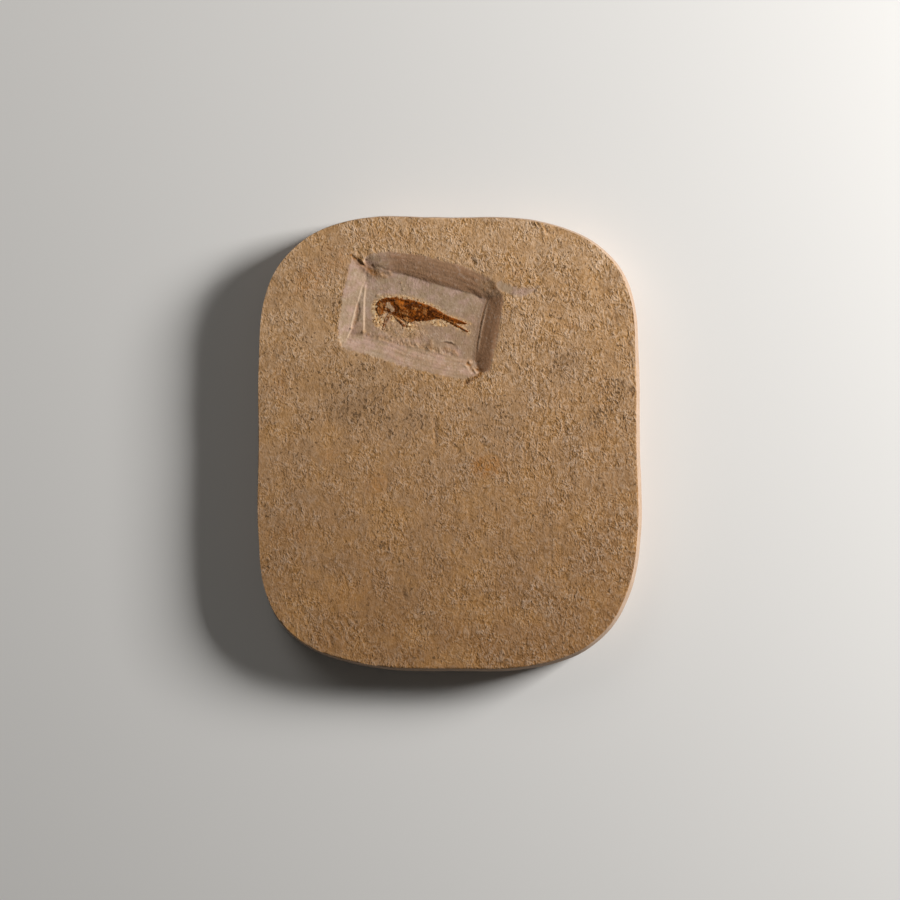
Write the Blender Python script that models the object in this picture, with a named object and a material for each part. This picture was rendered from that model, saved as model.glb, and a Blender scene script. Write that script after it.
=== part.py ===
"""A fossil lacewing in its plate of limestone, lying on its back. Metres, +Z up.

The origin is the centre of the plate's underside, +X is the photograph's right and +Y its top.
There are two pieces: the plate, with a shallow window scraped down to the fossil, and the
lacewing, a mineral cast that fills its own mould in the window's floor.
"""

import bmesh
import bpy
from mathutils import Euler, Matrix, Vector

MM = 0.001

# Plate
THICKNESS = 9.0 * MM
# The outline of the hand-ground edge as the photograph shows it, anticlockwise from the middle of the right side.
SEEN_OUTLINE_MM = [
    (38.1, 0.0), (37.9, 16.7), (36.4, 30.7), (32.2, 37.9), (21.4, 43.9),
    (0.0, 45.4), (-23.4, 43.9), (-32.5, 37.9), (-36.5, 30.7), (-38.1, 16.7),
    (-38.2, 0.0), (-38.1, -19.3), (-36.2, -31.3), (-31.2, -38.5), (-21.4, -43.3),
    (0.0, -45.3), (22.6, -43.3), (30.8, -38.5), (35.6, -31.3), (38.2, -19.3),
]
# The widest part of the edge is lower than the face, so the photograph shows it this much too small.
SEEN_TO_REAL = 1.008
OUTLINE_STEPS = 5
# The edge's section from the underside up: how far in from the widest outline, how high, and how much it leans.
EDGE_SECTION_MM = [
    (0.6, 0.0, 0.0), (0.25, 0.35, 0.0), (0.0, 1.6, 0.0), (0.0, 3.4, 0.0),
    (0.2, 6.0, 0.25), (0.55, 8.4, 0.7), (0.65, 8.85, 0.8), (0.8, 9.0, 1.0),
]
# The edge is ground wider on the right and at the bottom, so the face isn't quite over the middle.
FACE_LEAN_MM = (-0.35, 0.17)

# Window scraped into the plate's face
WINDOW_DEPTH = 1.25 * MM
FOOT_STEP = 0.2 * MM
RIM_OVERSHOOT = 0.3
# Where the strips start on the face, where they end, and the floor inside them, clockwise from the top left.
RIM_MM = [
    (-20.0, 37.2), (-16.2, 37.9), (-12.0, 38.4), (-3.0, 36.9), (5.0, 34.3),
    (9.6, 32.0), (10.8, 29.8), (9.7, 22.0), (8.0, 14.3), (4.0, 12.7),
    (-4.0, 14.1), (-13.0, 16.5), (-21.4, 18.9), (-22.5, 23.0), (-21.8, 29.0),
]
FOOT_MM = [
    (-16.9, 34.6), (-15.4, 35.9), (-12.6, 34.9), (-3.9, 32.6), (3.0, 30.8),
    (6.0, 29.3), (7.2, 28.2), (6.1, 22.6), (4.9, 17.0), (2.6, 16.4),
    (-4.4, 17.6), (-12.2, 19.3), (-19.9, 21.6), (-19.7, 23.6), (-18.6, 28.4),
]
FLOOR_MM = [
    (-16.3, 33.4), (-15.1, 35.3), (-12.6, 34.7), (-3.9, 32.4), (3.0, 30.6),
    (5.8, 29.1), (7.0, 28.0), (5.9, 22.6), (4.7, 17.2), (2.6, 16.6),
    (-4.4, 17.8), (-12.2, 19.5), (-17.0, 21.2), (-17.2, 24.0), (-17.0, 29.0),
]

# Dents in the plate's face, each a shallow bowl: name, centre, half length, half width, depth, turn in degrees.
DENTS_MM = [
    ("scrape_near", (11.9, 30.6), 2.6, 1.1, 0.22, -18.0),
    ("scrape_far", (15.2, 30.3), 2.8, 1.0, 0.18, 12.0),
    ("long_pit", (4.6, 37.0), 1.2, 0.45, 0.35, -58.0),
    ("edge_pit", (18.9, 42.9), 1.3, 0.4, 0.3, -70.0),
    ("middle_pit", (-2.9, 0.9), 1.6, 0.5, 0.25, -80.0),
    ("chipped_corner", (4.9, 14.8), 1.5, 0.9, 0.6, 40.0),
]
DENT_SIZE_OVER_CUT = 4.0

# Lacewing
FIT_GAP = 0.3 * MM
BED_DEPTH = 0.25 * MM
BED_OVERSHOOT = 0.6 * MM
# The body's swellings: name, centre, half length, half width, height over the floor, turn in degrees.
SWELLINGS_MM = [
    ("face", (-14.1, 26.7), 1.35, 0.75, 0.4, 76.0),
    ("head", (-13.2, 27.9), 1.15, 0.95, 0.5, 40.0),
    ("thorax", (-10.3, 27.2), 2.3, 1.75, 0.6, -12.0),
    ("hind_thorax", (-7.8, 26.6), 2.2, 1.75, 0.6, -12.0),
    ("abdomen", (-4.6, 26.1), 3.4, 1.5, 0.55, -14.0),
    ("abdomen_end", (-2.0, 25.5), 2.6, 0.95, 0.45, -18.0),
]
# Blades: name, outline, height over the floor.
FOREWING_MM = [
    (-11.0, 28.6), (-8.6, 28.9), (-6.0, 28.4), (-3.1, 27.2), (-0.8, 25.9),
    (1.8, 24.7), (3.8, 23.9), (1.7, 23.9), (-0.6, 24.6), (-3.4, 25.2), (-7.0, 26.4), (-10.4, 27.4),
]
HINDWING_MM = [(-1.2, 24.9), (0.8, 24.3), (2.3, 23.5), (3.6, 22.5), (1.9, 23.0), (0.3, 23.7), (-1.0, 24.2)]
BLADES = [("forewing", FOREWING_MM, 0.4 * MM), ("hindwing", HINDWING_MM, 0.3 * MM)]
# Legs: name, knots from the body outwards, radius at each knot.
LEGS_MM = [
    ("fore_leg", [(-11.6, 26.9), (-12.6, 25.2), (-13.3, 23.2)], [0.42, 0.36, 0.22]),
    ("second_fore_leg", [(-12.9, 27.2), (-13.4, 25.9), (-12.9, 25.0)], [0.36, 0.3, 0.24]),
    ("middle_leg", [(-10.8, 26.4), (-9.9, 24.9), (-8.9, 23.5), (-9.5, 22.2)], [0.42, 0.4, 0.3, 0.2]),
    ("hind_leg", [(-7.6, 25.6), (-7.1, 23.9), (-7.9, 22.6), (-7.0, 21.9)], [0.42, 0.34, 0.26, 0.18]),
]
SPHERE_SEGMENTS, SPHERE_RINGS = 20, 10

FACE_HEIGHT = THICKNESS
FLOOR_HEIGHT = THICKNESS - WINDOW_DEPTH


def clear_scene():
    for obj in list(bpy.data.objects):
        bpy.data.objects.remove(obj, do_unlink=True)


def new_collection(name):
    collection = bpy.data.collections.new(name)
    bpy.context.scene.collection.children.link(collection)
    return collection


def principled(name, color, roughness):
    material = bpy.data.materials.new(name)
    material.use_nodes = True
    shader = material.node_tree.nodes["Principled BSDF"]
    shader.inputs["Base Color"].default_value = (*color, 1.0)
    shader.inputs["Roughness"].default_value = roughness
    shader.inputs["Metallic"].default_value = 0.0
    return material


def add_object(name, mesh, collection):
    obj = bpy.data.objects.new(name, mesh)
    collection.objects.link(obj)
    return obj


def as_helper(obj):
    obj.hide_render = True
    obj.display_type = "WIRE"
    return obj


def mesh_of_curve(name, curve, collection):
    """The curve's solid as a plain mesh object with welded caps; the curve itself goes."""
    source = add_object(name + "_curve", curve, collection)
    bpy.context.view_layer.update()
    mesh = bpy.data.meshes.new_from_object(source.evaluated_get(bpy.context.evaluated_depsgraph_get()))
    mesh.name = name
    bm = bmesh.new()
    bm.from_mesh(mesh)
    bmesh.ops.remove_doubles(bm, verts=bm.verts, dist=0.01 * MM)
    bmesh.ops.recalc_face_normals(bm, faces=bm.faces)
    bm.to_mesh(mesh)
    bm.free()
    bpy.data.objects.remove(source, do_unlink=True)
    return add_object(name, mesh, collection)


def smooth_loop(anchors, scale, steps, collection):
    """Points along a closed curve that runs smoothly through the scaled anchors, centred on the origin."""
    curve = bpy.data.curves.new("outline", "CURVE")
    curve.dimensions = "2D"
    curve.fill_mode = "NONE"
    curve.resolution_u = steps
    spline = curve.splines.new("BEZIER")
    spline.bezier_points.add(len(anchors) - 1)
    for knot, (x, y) in zip(spline.bezier_points, anchors):
        knot.co = (x * MM, y * MM, 0.0)
        knot.handle_left_type = knot.handle_right_type = "AUTO"
    spline.use_cyclic_u = True
    source = add_object("outline", curve, collection)
    bpy.context.view_layer.update()
    mesh = bpy.data.meshes.new_from_object(source.evaluated_get(bpy.context.evaluated_depsgraph_get()))
    points = [vertex.co.to_2d() * scale for vertex in mesh.vertices]
    bpy.data.objects.remove(source, do_unlink=True)
    low = Vector((min(p.x for p in points), min(p.y for p in points)))
    high = Vector((max(p.x for p in points), max(p.y for p in points)))
    return [p - (low + high) / 2 for p in points]


def inset(points, distance):
    """An anticlockwise loop moved inwards by the distance."""
    moved = []
    for i, point in enumerate(points):
        along = (points[(i + 1) % len(points)] - points[i - 1]).normalized()
        moved.append(point + Vector((-along.y, along.x)) * distance)
    return moved


def loft(name, rings, collection):
    """A closed solid through rings of equal point counts, each a (loop of 2D points, height)."""
    bm = bmesh.new()
    rows = [[bm.verts.new((*point, height)) for point in loop] for loop, height in rings]
    for lower, upper in zip(rows, rows[1:]):
        for i in range(len(lower)):
            bm.faces.new((lower[i - 1], lower[i], upper[i], upper[i - 1]))
    bm.faces.new(rows[0])
    bm.faces.new(rows[-1])
    bmesh.ops.recalc_face_normals(bm, faces=bm.faces)
    mesh = bpy.data.meshes.new(name)
    bm.to_mesh(mesh)
    bm.free()
    return add_object(name, mesh, collection)


def ellipsoid(name, centre, radii, turn_deg, collection):
    bpy.ops.mesh.primitive_uv_sphere_add(segments=SPHERE_SEGMENTS, ring_count=SPHERE_RINGS, radius=1.0)
    sphere = bpy.context.active_object
    mesh = sphere.data
    mesh.name = name
    turn = Euler((0.0, 0.0, turn_deg * 3.14159265 / 180.0)).to_matrix().to_4x4()
    mesh.transform(Matrix.Translation(centre) @ turn @ Matrix.Diagonal((*radii, 1.0)))
    bpy.data.objects.remove(sphere, do_unlink=True)
    return add_object(name, mesh, collection)


def box(name, low, high, collection):
    bpy.ops.mesh.primitive_cube_add(size=1.0)
    cube = bpy.context.active_object
    mesh = cube.data
    mesh.name = name
    mesh.transform(Matrix.Translation((low + high) / 2) @ Matrix.Diagonal((*(high - low), 1.0)))
    bpy.data.objects.remove(cube, do_unlink=True)
    return add_object(name, mesh, collection)


def combine(obj, other, operation):
    modifier = obj.modifiers.new(other.name, "BOOLEAN")
    modifier.operation = operation
    modifier.object = other
    modifier.solver = "EXACT"
    as_helper(other)


def blade(name, outline, height, grow, collection):
    """A wing: a flat outline as thick as its bed is deep and it stands high, grown all round by grow."""
    curve = bpy.data.curves.new(name, "CURVE")
    curve.dimensions = "2D"
    curve.fill_mode = "BOTH"
    curve.resolution_u = 3
    curve.extrude = (height + BED_DEPTH + BED_OVERSHOOT) / 2
    curve.offset = grow
    spline = curve.splines.new("BEZIER")
    spline.bezier_points.add(len(outline) - 1)
    for knot, (x, y) in zip(spline.bezier_points, outline):
        knot.co = (x * MM, y * MM, 0.0)
        knot.handle_left_type = knot.handle_right_type = "AUTO"
    spline.use_cyclic_u = True
    wing = mesh_of_curve(name, curve, collection)
    wing.data.transform(Matrix.Translation((0, 0, FLOOR_HEIGHT + height - curve.extrude)))
    return wing


def limb(name, knots, radii, grow, collection):
    """A leg: a bent, tapering rod half sunk in the floor."""
    curve = bpy.data.curves.new(name, "CURVE")
    curve.dimensions = "3D"
    curve.bevel_depth = MM
    curve.bevel_resolution = 1
    curve.use_fill_caps = True
    spline = curve.splines.new("POLY")
    spline.points.add(len(knots) - 1)
    for point, (x, y), radius in zip(spline.points, knots, radii):
        point.co = (x * MM, y * MM, FLOOR_HEIGHT, 1.0)
        point.radius = radius + grow / MM
    return mesh_of_curve(name, curve, collection)


def lacewing_shape(name, grow, collection, helpers):
    """Body, wings and legs in one solid, cut flat where it meets its bed."""
    parts = []
    for part, (x, y), length, width, height, turn in SWELLINGS_MM:
        radii = Vector((length, width, height)) * MM + Vector((grow, grow, grow))
        centre = Vector((x * MM, y * MM, FLOOR_HEIGHT))
        parts.append(ellipsoid(f"{name}_{part}", centre, radii, turn, helpers))
    for part, outline, height in BLADES:
        parts.append(blade(f"{name}_{part}", outline, height + grow, grow, helpers))
    for part, knots, radii in LEGS_MM:
        parts.append(limb(f"{name}_{part}", knots, radii, grow, helpers))
    body = add_object(name, parts[0].data.copy(), collection)
    as_helper(parts[0])
    for part in parts[1:]:
        combine(body, part, "UNION")
    bed = FLOOR_HEIGHT - BED_DEPTH - grow
    low = Vector((-20 * MM, 15 * MM, bed - 3 * MM))
    high = Vector((10 * MM, 35 * MM, bed))
    combine(body, box(name + "_bed", low, high, helpers), "DIFFERENCE")
    return body


def window_cutter(helpers):
    """The scraped hollow: floor, a low step round it, then the strips up to and past the plate's face."""
    foot = [Vector(p) * MM for p in FOOT_MM]
    floor = [Vector(p) * MM for p in FLOOR_MM]
    rim = [Vector(p) * MM for p in RIM_MM]
    above = [r + (r - f) * RIM_OVERSHOOT for r, f in zip(rim, foot)]
    rise = WINDOW_DEPTH - FOOT_STEP
    rings = [
        (floor, FLOOR_HEIGHT),
        (foot, FLOOR_HEIGHT + FOOT_STEP),
        (rim, FACE_HEIGHT),
        (above, FACE_HEIGHT + rise * RIM_OVERSHOOT),
    ]
    return loft("window_cutter", rings, helpers)


def dent_cutter(name, centre, length, width, depth, turn, helpers):
    """A bowl cut by the low end of an ellipsoid whose middle is above the face."""
    half_height = depth * DENT_SIZE_OVER_CUT
    lift = half_height - depth
    across = (1.0 - (lift / half_height) ** 2) ** 0.5
    radii = Vector((length / across, width / across, half_height)) * MM
    middle = Vector((centre[0] * MM, centre[1] * MM, FACE_HEIGHT + lift * MM))
    return ellipsoid(name, middle, radii, turn, helpers)


def build_plate(parts, helpers):
    outline = smooth_loop(SEEN_OUTLINE_MM, SEEN_TO_REAL, OUTLINE_STEPS, helpers)
    rings = []
    for inwards, height, share in EDGE_SECTION_MM:
        lean = Vector(FACE_LEAN_MM) * MM * share
        rings.append(([point + lean for point in inset(outline, inwards * MM)], height * MM))
    plate = loft("limestone_plate", rings, parts)
    combine(plate, window_cutter(helpers), "DIFFERENCE")
    for name, centre, length, width, depth, turn in DENTS_MM:
        combine(plate, dent_cutter(name, centre, length, width, depth, turn, helpers), "DIFFERENCE")
    mould = lacewing_shape("mould", FIT_GAP, helpers, helpers)
    combine(plate, mould, "DIFFERENCE")
    plate.data.materials.append(principled("limestone", (0.52, 0.38, 0.24), 0.9))
    return plate


def build_lacewing(parts, helpers):
    lacewing = lacewing_shape("lacewing", 0.0, parts, helpers)
    lacewing.data.materials.append(principled("iron_oxide", (0.16, 0.06, 0.02), 0.7))
    return lacewing


def main():
    clear_scene()
    parts = new_collection("fossil_lacewing")
    helpers = new_collection("cutters")
    build_plate(parts, helpers)
    build_lacewing(parts, helpers)


main()
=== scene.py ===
# %% [markdown]
# # A fossil lacewing in its plate of limestone
#
# A small insect lies on its side in fine-grained limestone. Its body was replaced by iron oxide, so
# it is rust brown. Somebody scraped a shallow window into the plate to reach it, with four strokes
# of a flat blade round a lower floor, and ground the plate's edge round.
#
# The CAD model already has the plate, its window and the insect at their right places and sizes.
# This lesson makes two detailed pieces that stand in for those two solids: stone with its grain,
# tool marks and chips, and the insect as a low, crumbly relief.
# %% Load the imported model
import math

import bpy
import numpy as np
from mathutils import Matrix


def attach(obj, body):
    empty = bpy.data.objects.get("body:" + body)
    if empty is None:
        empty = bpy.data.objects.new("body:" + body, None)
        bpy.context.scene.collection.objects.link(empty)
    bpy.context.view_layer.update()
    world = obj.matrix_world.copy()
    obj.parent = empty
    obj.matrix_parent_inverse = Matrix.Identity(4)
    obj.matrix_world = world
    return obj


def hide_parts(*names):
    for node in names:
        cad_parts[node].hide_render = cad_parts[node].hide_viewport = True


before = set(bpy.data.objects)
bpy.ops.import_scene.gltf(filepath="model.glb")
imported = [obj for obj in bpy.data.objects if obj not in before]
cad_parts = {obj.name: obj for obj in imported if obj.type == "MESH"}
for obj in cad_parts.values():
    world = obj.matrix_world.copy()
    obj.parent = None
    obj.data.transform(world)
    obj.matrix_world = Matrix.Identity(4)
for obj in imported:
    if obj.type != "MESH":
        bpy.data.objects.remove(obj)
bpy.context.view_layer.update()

# %% [markdown]
# ## Working in millimetres
#
# The scene is in metres, but a plate as big as a hand is easier to think about in millimetres. The
# helpers below read and write all the points of a mesh at once as a table of numbers, which is much
# faster than going through them one by one. The others choose what the next operator acts on.
# %% Points in millimetres, and selections
MM = 0.001


def points_of(piece):
    flat = np.empty(len(piece.data.vertices) * 3)
    piece.data.vertices.foreach_get("co", flat)
    return flat.reshape(-1, 3) / MM


def place_points(piece, points):
    piece.data.vertices.foreach_set("co", (points * MM).ravel())
    piece.data.update()


def paint(piece, name, values):
    """Stores one number per point, which a material reads with an Attribute node."""
    layer = piece.data.attributes.new(name, "FLOAT", "POINT")
    layer.data.foreach_set("value", np.clip(values, 0, 1).astype(np.float32))


def deselect_all():
    bpy.ops.object.select_all(action="DESELECT")


def select_only(piece):
    deselect_all()
    piece.select_set(True)
    bpy.context.view_layer.objects.active = piece


def face_centres(piece):
    flat = np.empty(len(piece.data.polygons) * 3)
    piece.data.polygons.foreach_get("center", flat)
    return flat.reshape(-1, 3) / MM


def edit_faces(piece, chosen):
    """Goes into edit mode with the chosen faces selected."""
    piece.data.polygons.foreach_set("select", chosen)
    bpy.ops.object.mode_set(mode="EDIT")
    bpy.ops.mesh.select_mode(type="FACE")
    bpy.ops.object.mode_set(mode="OBJECT")
    piece.data.polygons.foreach_set("select", chosen)
    bpy.ops.object.mode_set(mode="EDIT")


# %% [markdown]
# ## Brushes
#
# Stone and fossil are shapes that no primitive gives, so they are worked as by a sculptor: a fine
# grid whose points are moved up and down. Each brush takes the points' places and gives a number
# for each point. `line` measures the distance to a bent line, `mound` is a round hump, `ripple` is
# smooth noise of a chosen size, and `ease` turns a distance into a soft step.
# %% The brushes
def ease(low, high, value):
    """0 below low, 1 above high, and a soft step between."""
    t = np.clip((value - low) / (high - low), 0, 1)
    return t * t * (3 - 2 * t)


def line(x, y, knots):
    """How far each point is from the bent line, above 0 on its left, and how far along the line, in mm."""
    best = np.full(x.shape, 1e9)
    side = np.ones(x.shape)
    along = np.zeros(x.shape)
    run = 0.0
    for (ax, ay), (bx, by) in zip(knots, knots[1:]):
        length = math.hypot(bx - ax, by - ay)
        ux, uy = (bx - ax) / length, (by - ay) / length
        t = np.clip((x - ax) * ux + (y - ay) * uy, 0, length)
        gap = np.hypot(x - ax - t * ux, y - ay - t * uy)
        nearer = gap < best
        best = np.where(nearer, gap, best)
        side = np.where(nearer, np.sign(ux * (y - ay) - uy * (x - ax)), side)
        along = np.where(nearer, run + t, along)
        run += length
    return best * np.where(side == 0, 1, side), along, run


def stroke(x, y, knots, half_width, taper=0.25):
    """1 on the line, fading to 0 to each side and towards both ends."""
    distance, along, run = line(x, y, knots)
    ends = ease(0, taper * run + 1e-6, along) * ease(0, taper * run + 1e-6, run - along)
    return np.exp(-((distance / half_width) ** 2)) * (0.15 + 0.85 * ends)


def mound(x, y, centre, length, width, turn=0.0):
    """A round hump, 1 in the middle and 0 at its edge, turned by so many degrees."""
    c, s = math.cos(math.radians(turn)), math.sin(math.radians(turn))
    u = ((x - centre[0]) * c + (y - centre[1]) * s) / length
    v = ((y - centre[1]) * c - (x - centre[0]) * s) / width
    return np.clip(1 - u * u - v * v, 0, 1)


def ripple(x, y, size, seed):
    """Smooth noise between about -1 and 1 whose bumps are about as wide as size."""
    rng = np.random.default_rng(seed)
    order = rng.permutation(512)
    turns = rng.random(512) * math.tau
    i, j = np.floor(x / size).astype(int), np.floor(y / size).astype(int)
    u, v = x / size - i, y / size - j

    def corner(di, dj):
        turn = turns[order[(order[(i + di) % 512] + j + dj) % 512]]
        return np.cos(turn) * (u - di) + np.sin(turn) * (v - dj)

    su, sv = u ** 3 * (u * (6 * u - 15) + 10), v ** 3 * (v * (6 * v - 15) + 10)
    low = corner(0, 0) * (1 - su) + corner(1, 0) * su
    high = corner(0, 1) * (1 - su) + corner(1, 1) * su
    return 1.5 * (low * (1 - sv) + high * sv)


def crumble(x, y, size, seed):
    """Ripples in three sizes, for broken stone."""
    middle_size, smallest = ripple(x, y, size / 2, seed + 1), ripple(x, y, size / 4, seed + 2)
    return ripple(x, y, size, seed) + 0.5 * middle_size + 0.25 * smallest


# %% [markdown]
# ## The plate's outline
#
# The plate was ground by hand, so its outline is neither a rectangle nor an ellipse. The CAD plate
# has it already. Its widest ring of points is read here, and stored as the distance from the
# middle in each direction.
# %% Read the widest ring of the CAD plate
BELLY_HEIGHT = 3.4
plate_points = points_of(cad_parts["limestone_plate"])
ring = plate_points[abs(plate_points[:, 2] - BELLY_HEIGHT) < 0.02]
ring_angle = np.arctan2(ring[:, 1], ring[:, 0])
ring_reach = np.hypot(ring[:, 0], ring[:, 1])
by_angle = np.argsort(ring_angle)
STEPS = 1440
outline_angle = np.linspace(-math.pi, math.pi, STEPS, endpoint=False)
outline_reach = np.interp(outline_angle, ring_angle[by_angle], ring_reach[by_angle], period=math.tau)
# The ring's corners are softened by a running mean over so many steps to each side.
SOFT_STEPS = 13
weights = np.hanning(2 * SOFT_STEPS + 1)
wrapped = np.concatenate([outline_reach[-SOFT_STEPS:], outline_reach, outline_reach[:SOFT_STEPS]])
outline_reach = np.convolve(wrapped, weights / weights.sum(), "valid")
outline_x, outline_y = outline_reach * np.cos(outline_angle), outline_reach * np.sin(outline_angle)
tangent_x = np.roll(outline_x, -1) - np.roll(outline_x, 1)
tangent_y = np.roll(outline_y, -1) - np.roll(outline_y, 1)
tangent_size = np.hypot(tangent_x, tangent_y)
inward_x, inward_y = -tangent_y / tangent_size, tangent_x / tangent_size


def outline_at(angle, inwards):
    """The outline's point in each direction, moved inwards by so many mm."""
    x = np.interp(angle, outline_angle, outline_x + inwards * inward_x, period=math.tau)
    y = np.interp(angle, outline_angle, outline_y + inwards * inward_y, period=math.tau)
    return x, y


reach_range = f"{ring_reach.min():.1f} to {ring_reach.max():.1f} mm"
print("Outline read from", len(ring), "points, which reach", reach_range)

# %% [markdown]
# ## The plate's blank
#
# The face starts as a grid primitive. Its square is pulled into the ground outline: nothing moves
# in the middle, and the corners move most. Then the border is extruded down step by step to make
# the edge, and closed underneath. Only the window needs the finest mesh, so only its faces are
# subdivided.
# %% Add the grid and pull it into the outline
FACE_HEIGHT = 8.88
# No bump of the face rises past the CAD plate's own face.
HIGHEST = 9.0
# The face's edge lies this far inside the widest outline, before it leans to one side.
FACE_INSET = 0.8
# The edge was ground wider on the right and at the bottom, so the face is not quite over the middle.
FACE_LEAN = (-0.35, 0.17)
GRID_STEP = 0.345
half_width, half_length = outline_x.max() - FACE_INSET, outline_y.max() - FACE_INSET
columns, rows = round(2 * half_width / GRID_STEP), round(2 * half_length / GRID_STEP)
deselect_all()
bpy.ops.mesh.primitive_grid_add(x_subdivisions=columns, y_subdivisions=rows, size=2, location=(0, 0, 0))
plate = bpy.context.active_object
plate.name = plate.data.name = "plate_of_limestone"
bpy.ops.object.mode_set(mode="EDIT")
bpy.ops.transform.resize(value=(half_width * MM, half_length * MM, 1))
bpy.ops.object.mode_set(mode="OBJECT")

points = points_of(plate)
x, y = points[:, 0], points[:, 1]
to_border = np.maximum(abs(x) / half_width, abs(y) / half_length)
face_x, face_y = outline_at(np.arctan2(y, x), FACE_INSET)
square_reach = np.hypot(x, y) / np.maximum(to_border, 1e-9)
pull = np.hypot(face_x, face_y) / np.maximum(square_reach, 1e-9)
share = to_border ** 4
points[:, 0] = x * (1 - share + share * pull) + share * FACE_LEAN[0]
points[:, 1] = y * (1 - share + share * pull) + share * FACE_LEAN[1]
place_points(plate, points)
print("Grid of", columns, "by", rows, "faces")

# %% Extrude the border down and close the underside
# Each level of the edge, from the face down: how far in from the widest outline, and how high.
EDGE_LEVELS = [
    (0.67, 8.78), (0.58, 8.5), (0.45, 7.7), (0.31, 6.8), (0.19, 5.9), (0.1, 5.0),
    (0.03, 4.1), (0.0, 3.1), (0.0, 2.1), (0.08, 1.1), (0.27, 0.35), (0.6, 0.0),
]
bpy.ops.object.mode_set(mode="EDIT")
bpy.ops.mesh.select_mode(type="EDGE")
bpy.ops.mesh.select_all(action="DESELECT")
bpy.ops.mesh.select_non_manifold()
for _ in EDGE_LEVELS:
    bpy.ops.mesh.extrude_region_move(TRANSFORM_OT_translate={"value": (0, 0, -MM)})
bpy.ops.mesh.edge_face_add()
bpy.ops.object.mode_set(mode="OBJECT")
print("Blank of", len(plate.data.polygons), "faces")

# %% [markdown]
# ## The four strips of the window
#
# Each strip was cut by one stroke of a blade, so it is nearly flat: it leaves the face at its outer
# line and slopes down to its inner line, where a small step leads to the floor. Where two strips
# meet, the higher one is what was left standing, so the larger of the two heights is taken.
# The lines run round the window with the inside on their left.
#
# `foot` is how deep a strip ends and `step_width` how wide its step is. `soft` rounds the rim, and the
# brown number paints shade, as a browner tone, on the strips that face away from the key light. The
# blade's strokes were uneven: a `worn_end` is shallower, a `dug_end` is steeper at once, and a
# `deep_start` is deeper.
# %% The strips' lines, in mm from the middle of the plate
WINDOW_DEPTH = 1.25
STRIPS = {
    "left": {
        "outer": [(-19.0, 39.5), (-19.8, 37.1), (-21.2, 31.7), (-22.1, 26.7), (-22.6, 23.1), (-22.3, 20.5),
                  (-21.5, 18.9), (-21.0, 17.6)],
        "inner": [(-16.6, 36.0), (-17.2, 32.6), (-17.8, 31.1), (-18.6, 28.1), (-19.3, 25.7), (-19.7, 24.0),
                  (-19.8, 22.9), (-21.5, 19.2), (-22.0, 18.0)],
        "foot": 0.86, "step_width": 0.3, "soft": 0.08, "brown_and_painted_shade": 0.0, "deep_start": 0.28,
    },
    "bottom": {
        "outer": [(-24.0, 19.7), (-21.6, 19.1), (-19.0, 18.3), (-16.0, 17.5), (-13.0, 16.6), (-10.0, 15.5),
                  (-7.0, 14.8), (-4.0, 14.0), (-1.0, 13.3), (1.0, 12.9), (3.2, 12.8), (4.6, 13.3),
                  (6.0, 14.1), (7.4, 14.4)],
        "inner": [(-23.0, 22.0), (-20.0, 21.6), (-17.0, 21.0), (-14.4, 20.6), (-12.0, 20.0), (-8.0, 19.2),
                  (-4.0, 18.4), (0.2, 17.1), (2.6, 16.5), (5.0, 16.2)],
        "foot": 1.08, "step_width": 0.5, "soft": 0.1, "brown_and_painted_shade": 0.2, "dug_end": 0.8,
    },
    "right": {
        "outer": [(7.3, 12.6), (8.1, 14.1), (8.5, 15.7), (9.35, 19.7), (10.15, 23.7), (10.75, 27.7),
                  (11.0, 29.7), (11.3, 31.6)],
        "inner": [(5.0, 15.0), (5.2, 16.6), (5.3, 18.3), (5.5, 19.7), (6.1, 22.7), (6.6, 25.5), (7.3, 27.9),
                  (8.0, 30.1), (8.6, 32.0)],
        "foot": 1.14, "step_width": 0.9, "soft": 0.3, "brown_and_painted_shade": 1.0,
    },
    "top": {
        "outer": [(12.0, 29.3), (10.6, 30.1), (9.8, 31.0), (9.2, 32.3), (8.0, 33.2), (5.6, 34.4),
                  (3.0, 35.5), (0.0, 36.4), (-3.0, 37.2), (-6.0, 37.9), (-9.0, 38.3), (-12.0, 38.5),
                  (-14.6, 38.3), (-16.6, 38.0), (-19.4, 37.75), (-21.0, 37.7)],
        "inner": [(9.6, 28.4), (8.0, 29.0), (6.2, 29.5), (4.8, 30.2), (3.0, 30.7), (1.0, 31.2), (-1.4, 31.8),
                  (-4.0, 32.5), (-6.6, 33.4), (-9.0, 34.1), (-11.0, 34.5), (-13.0, 34.9), (-14.4, 35.3),
                  (-16.4, 36.6)],
        "foot": 1.07, "step_width": 0.35, "soft": 0.6, "brown_and_painted_shade": 0.8, "worn_end": 0.55,
    },
}
print(len(STRIPS), "strips round a window that is", WINDOW_DEPTH, "mm deep")


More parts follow.
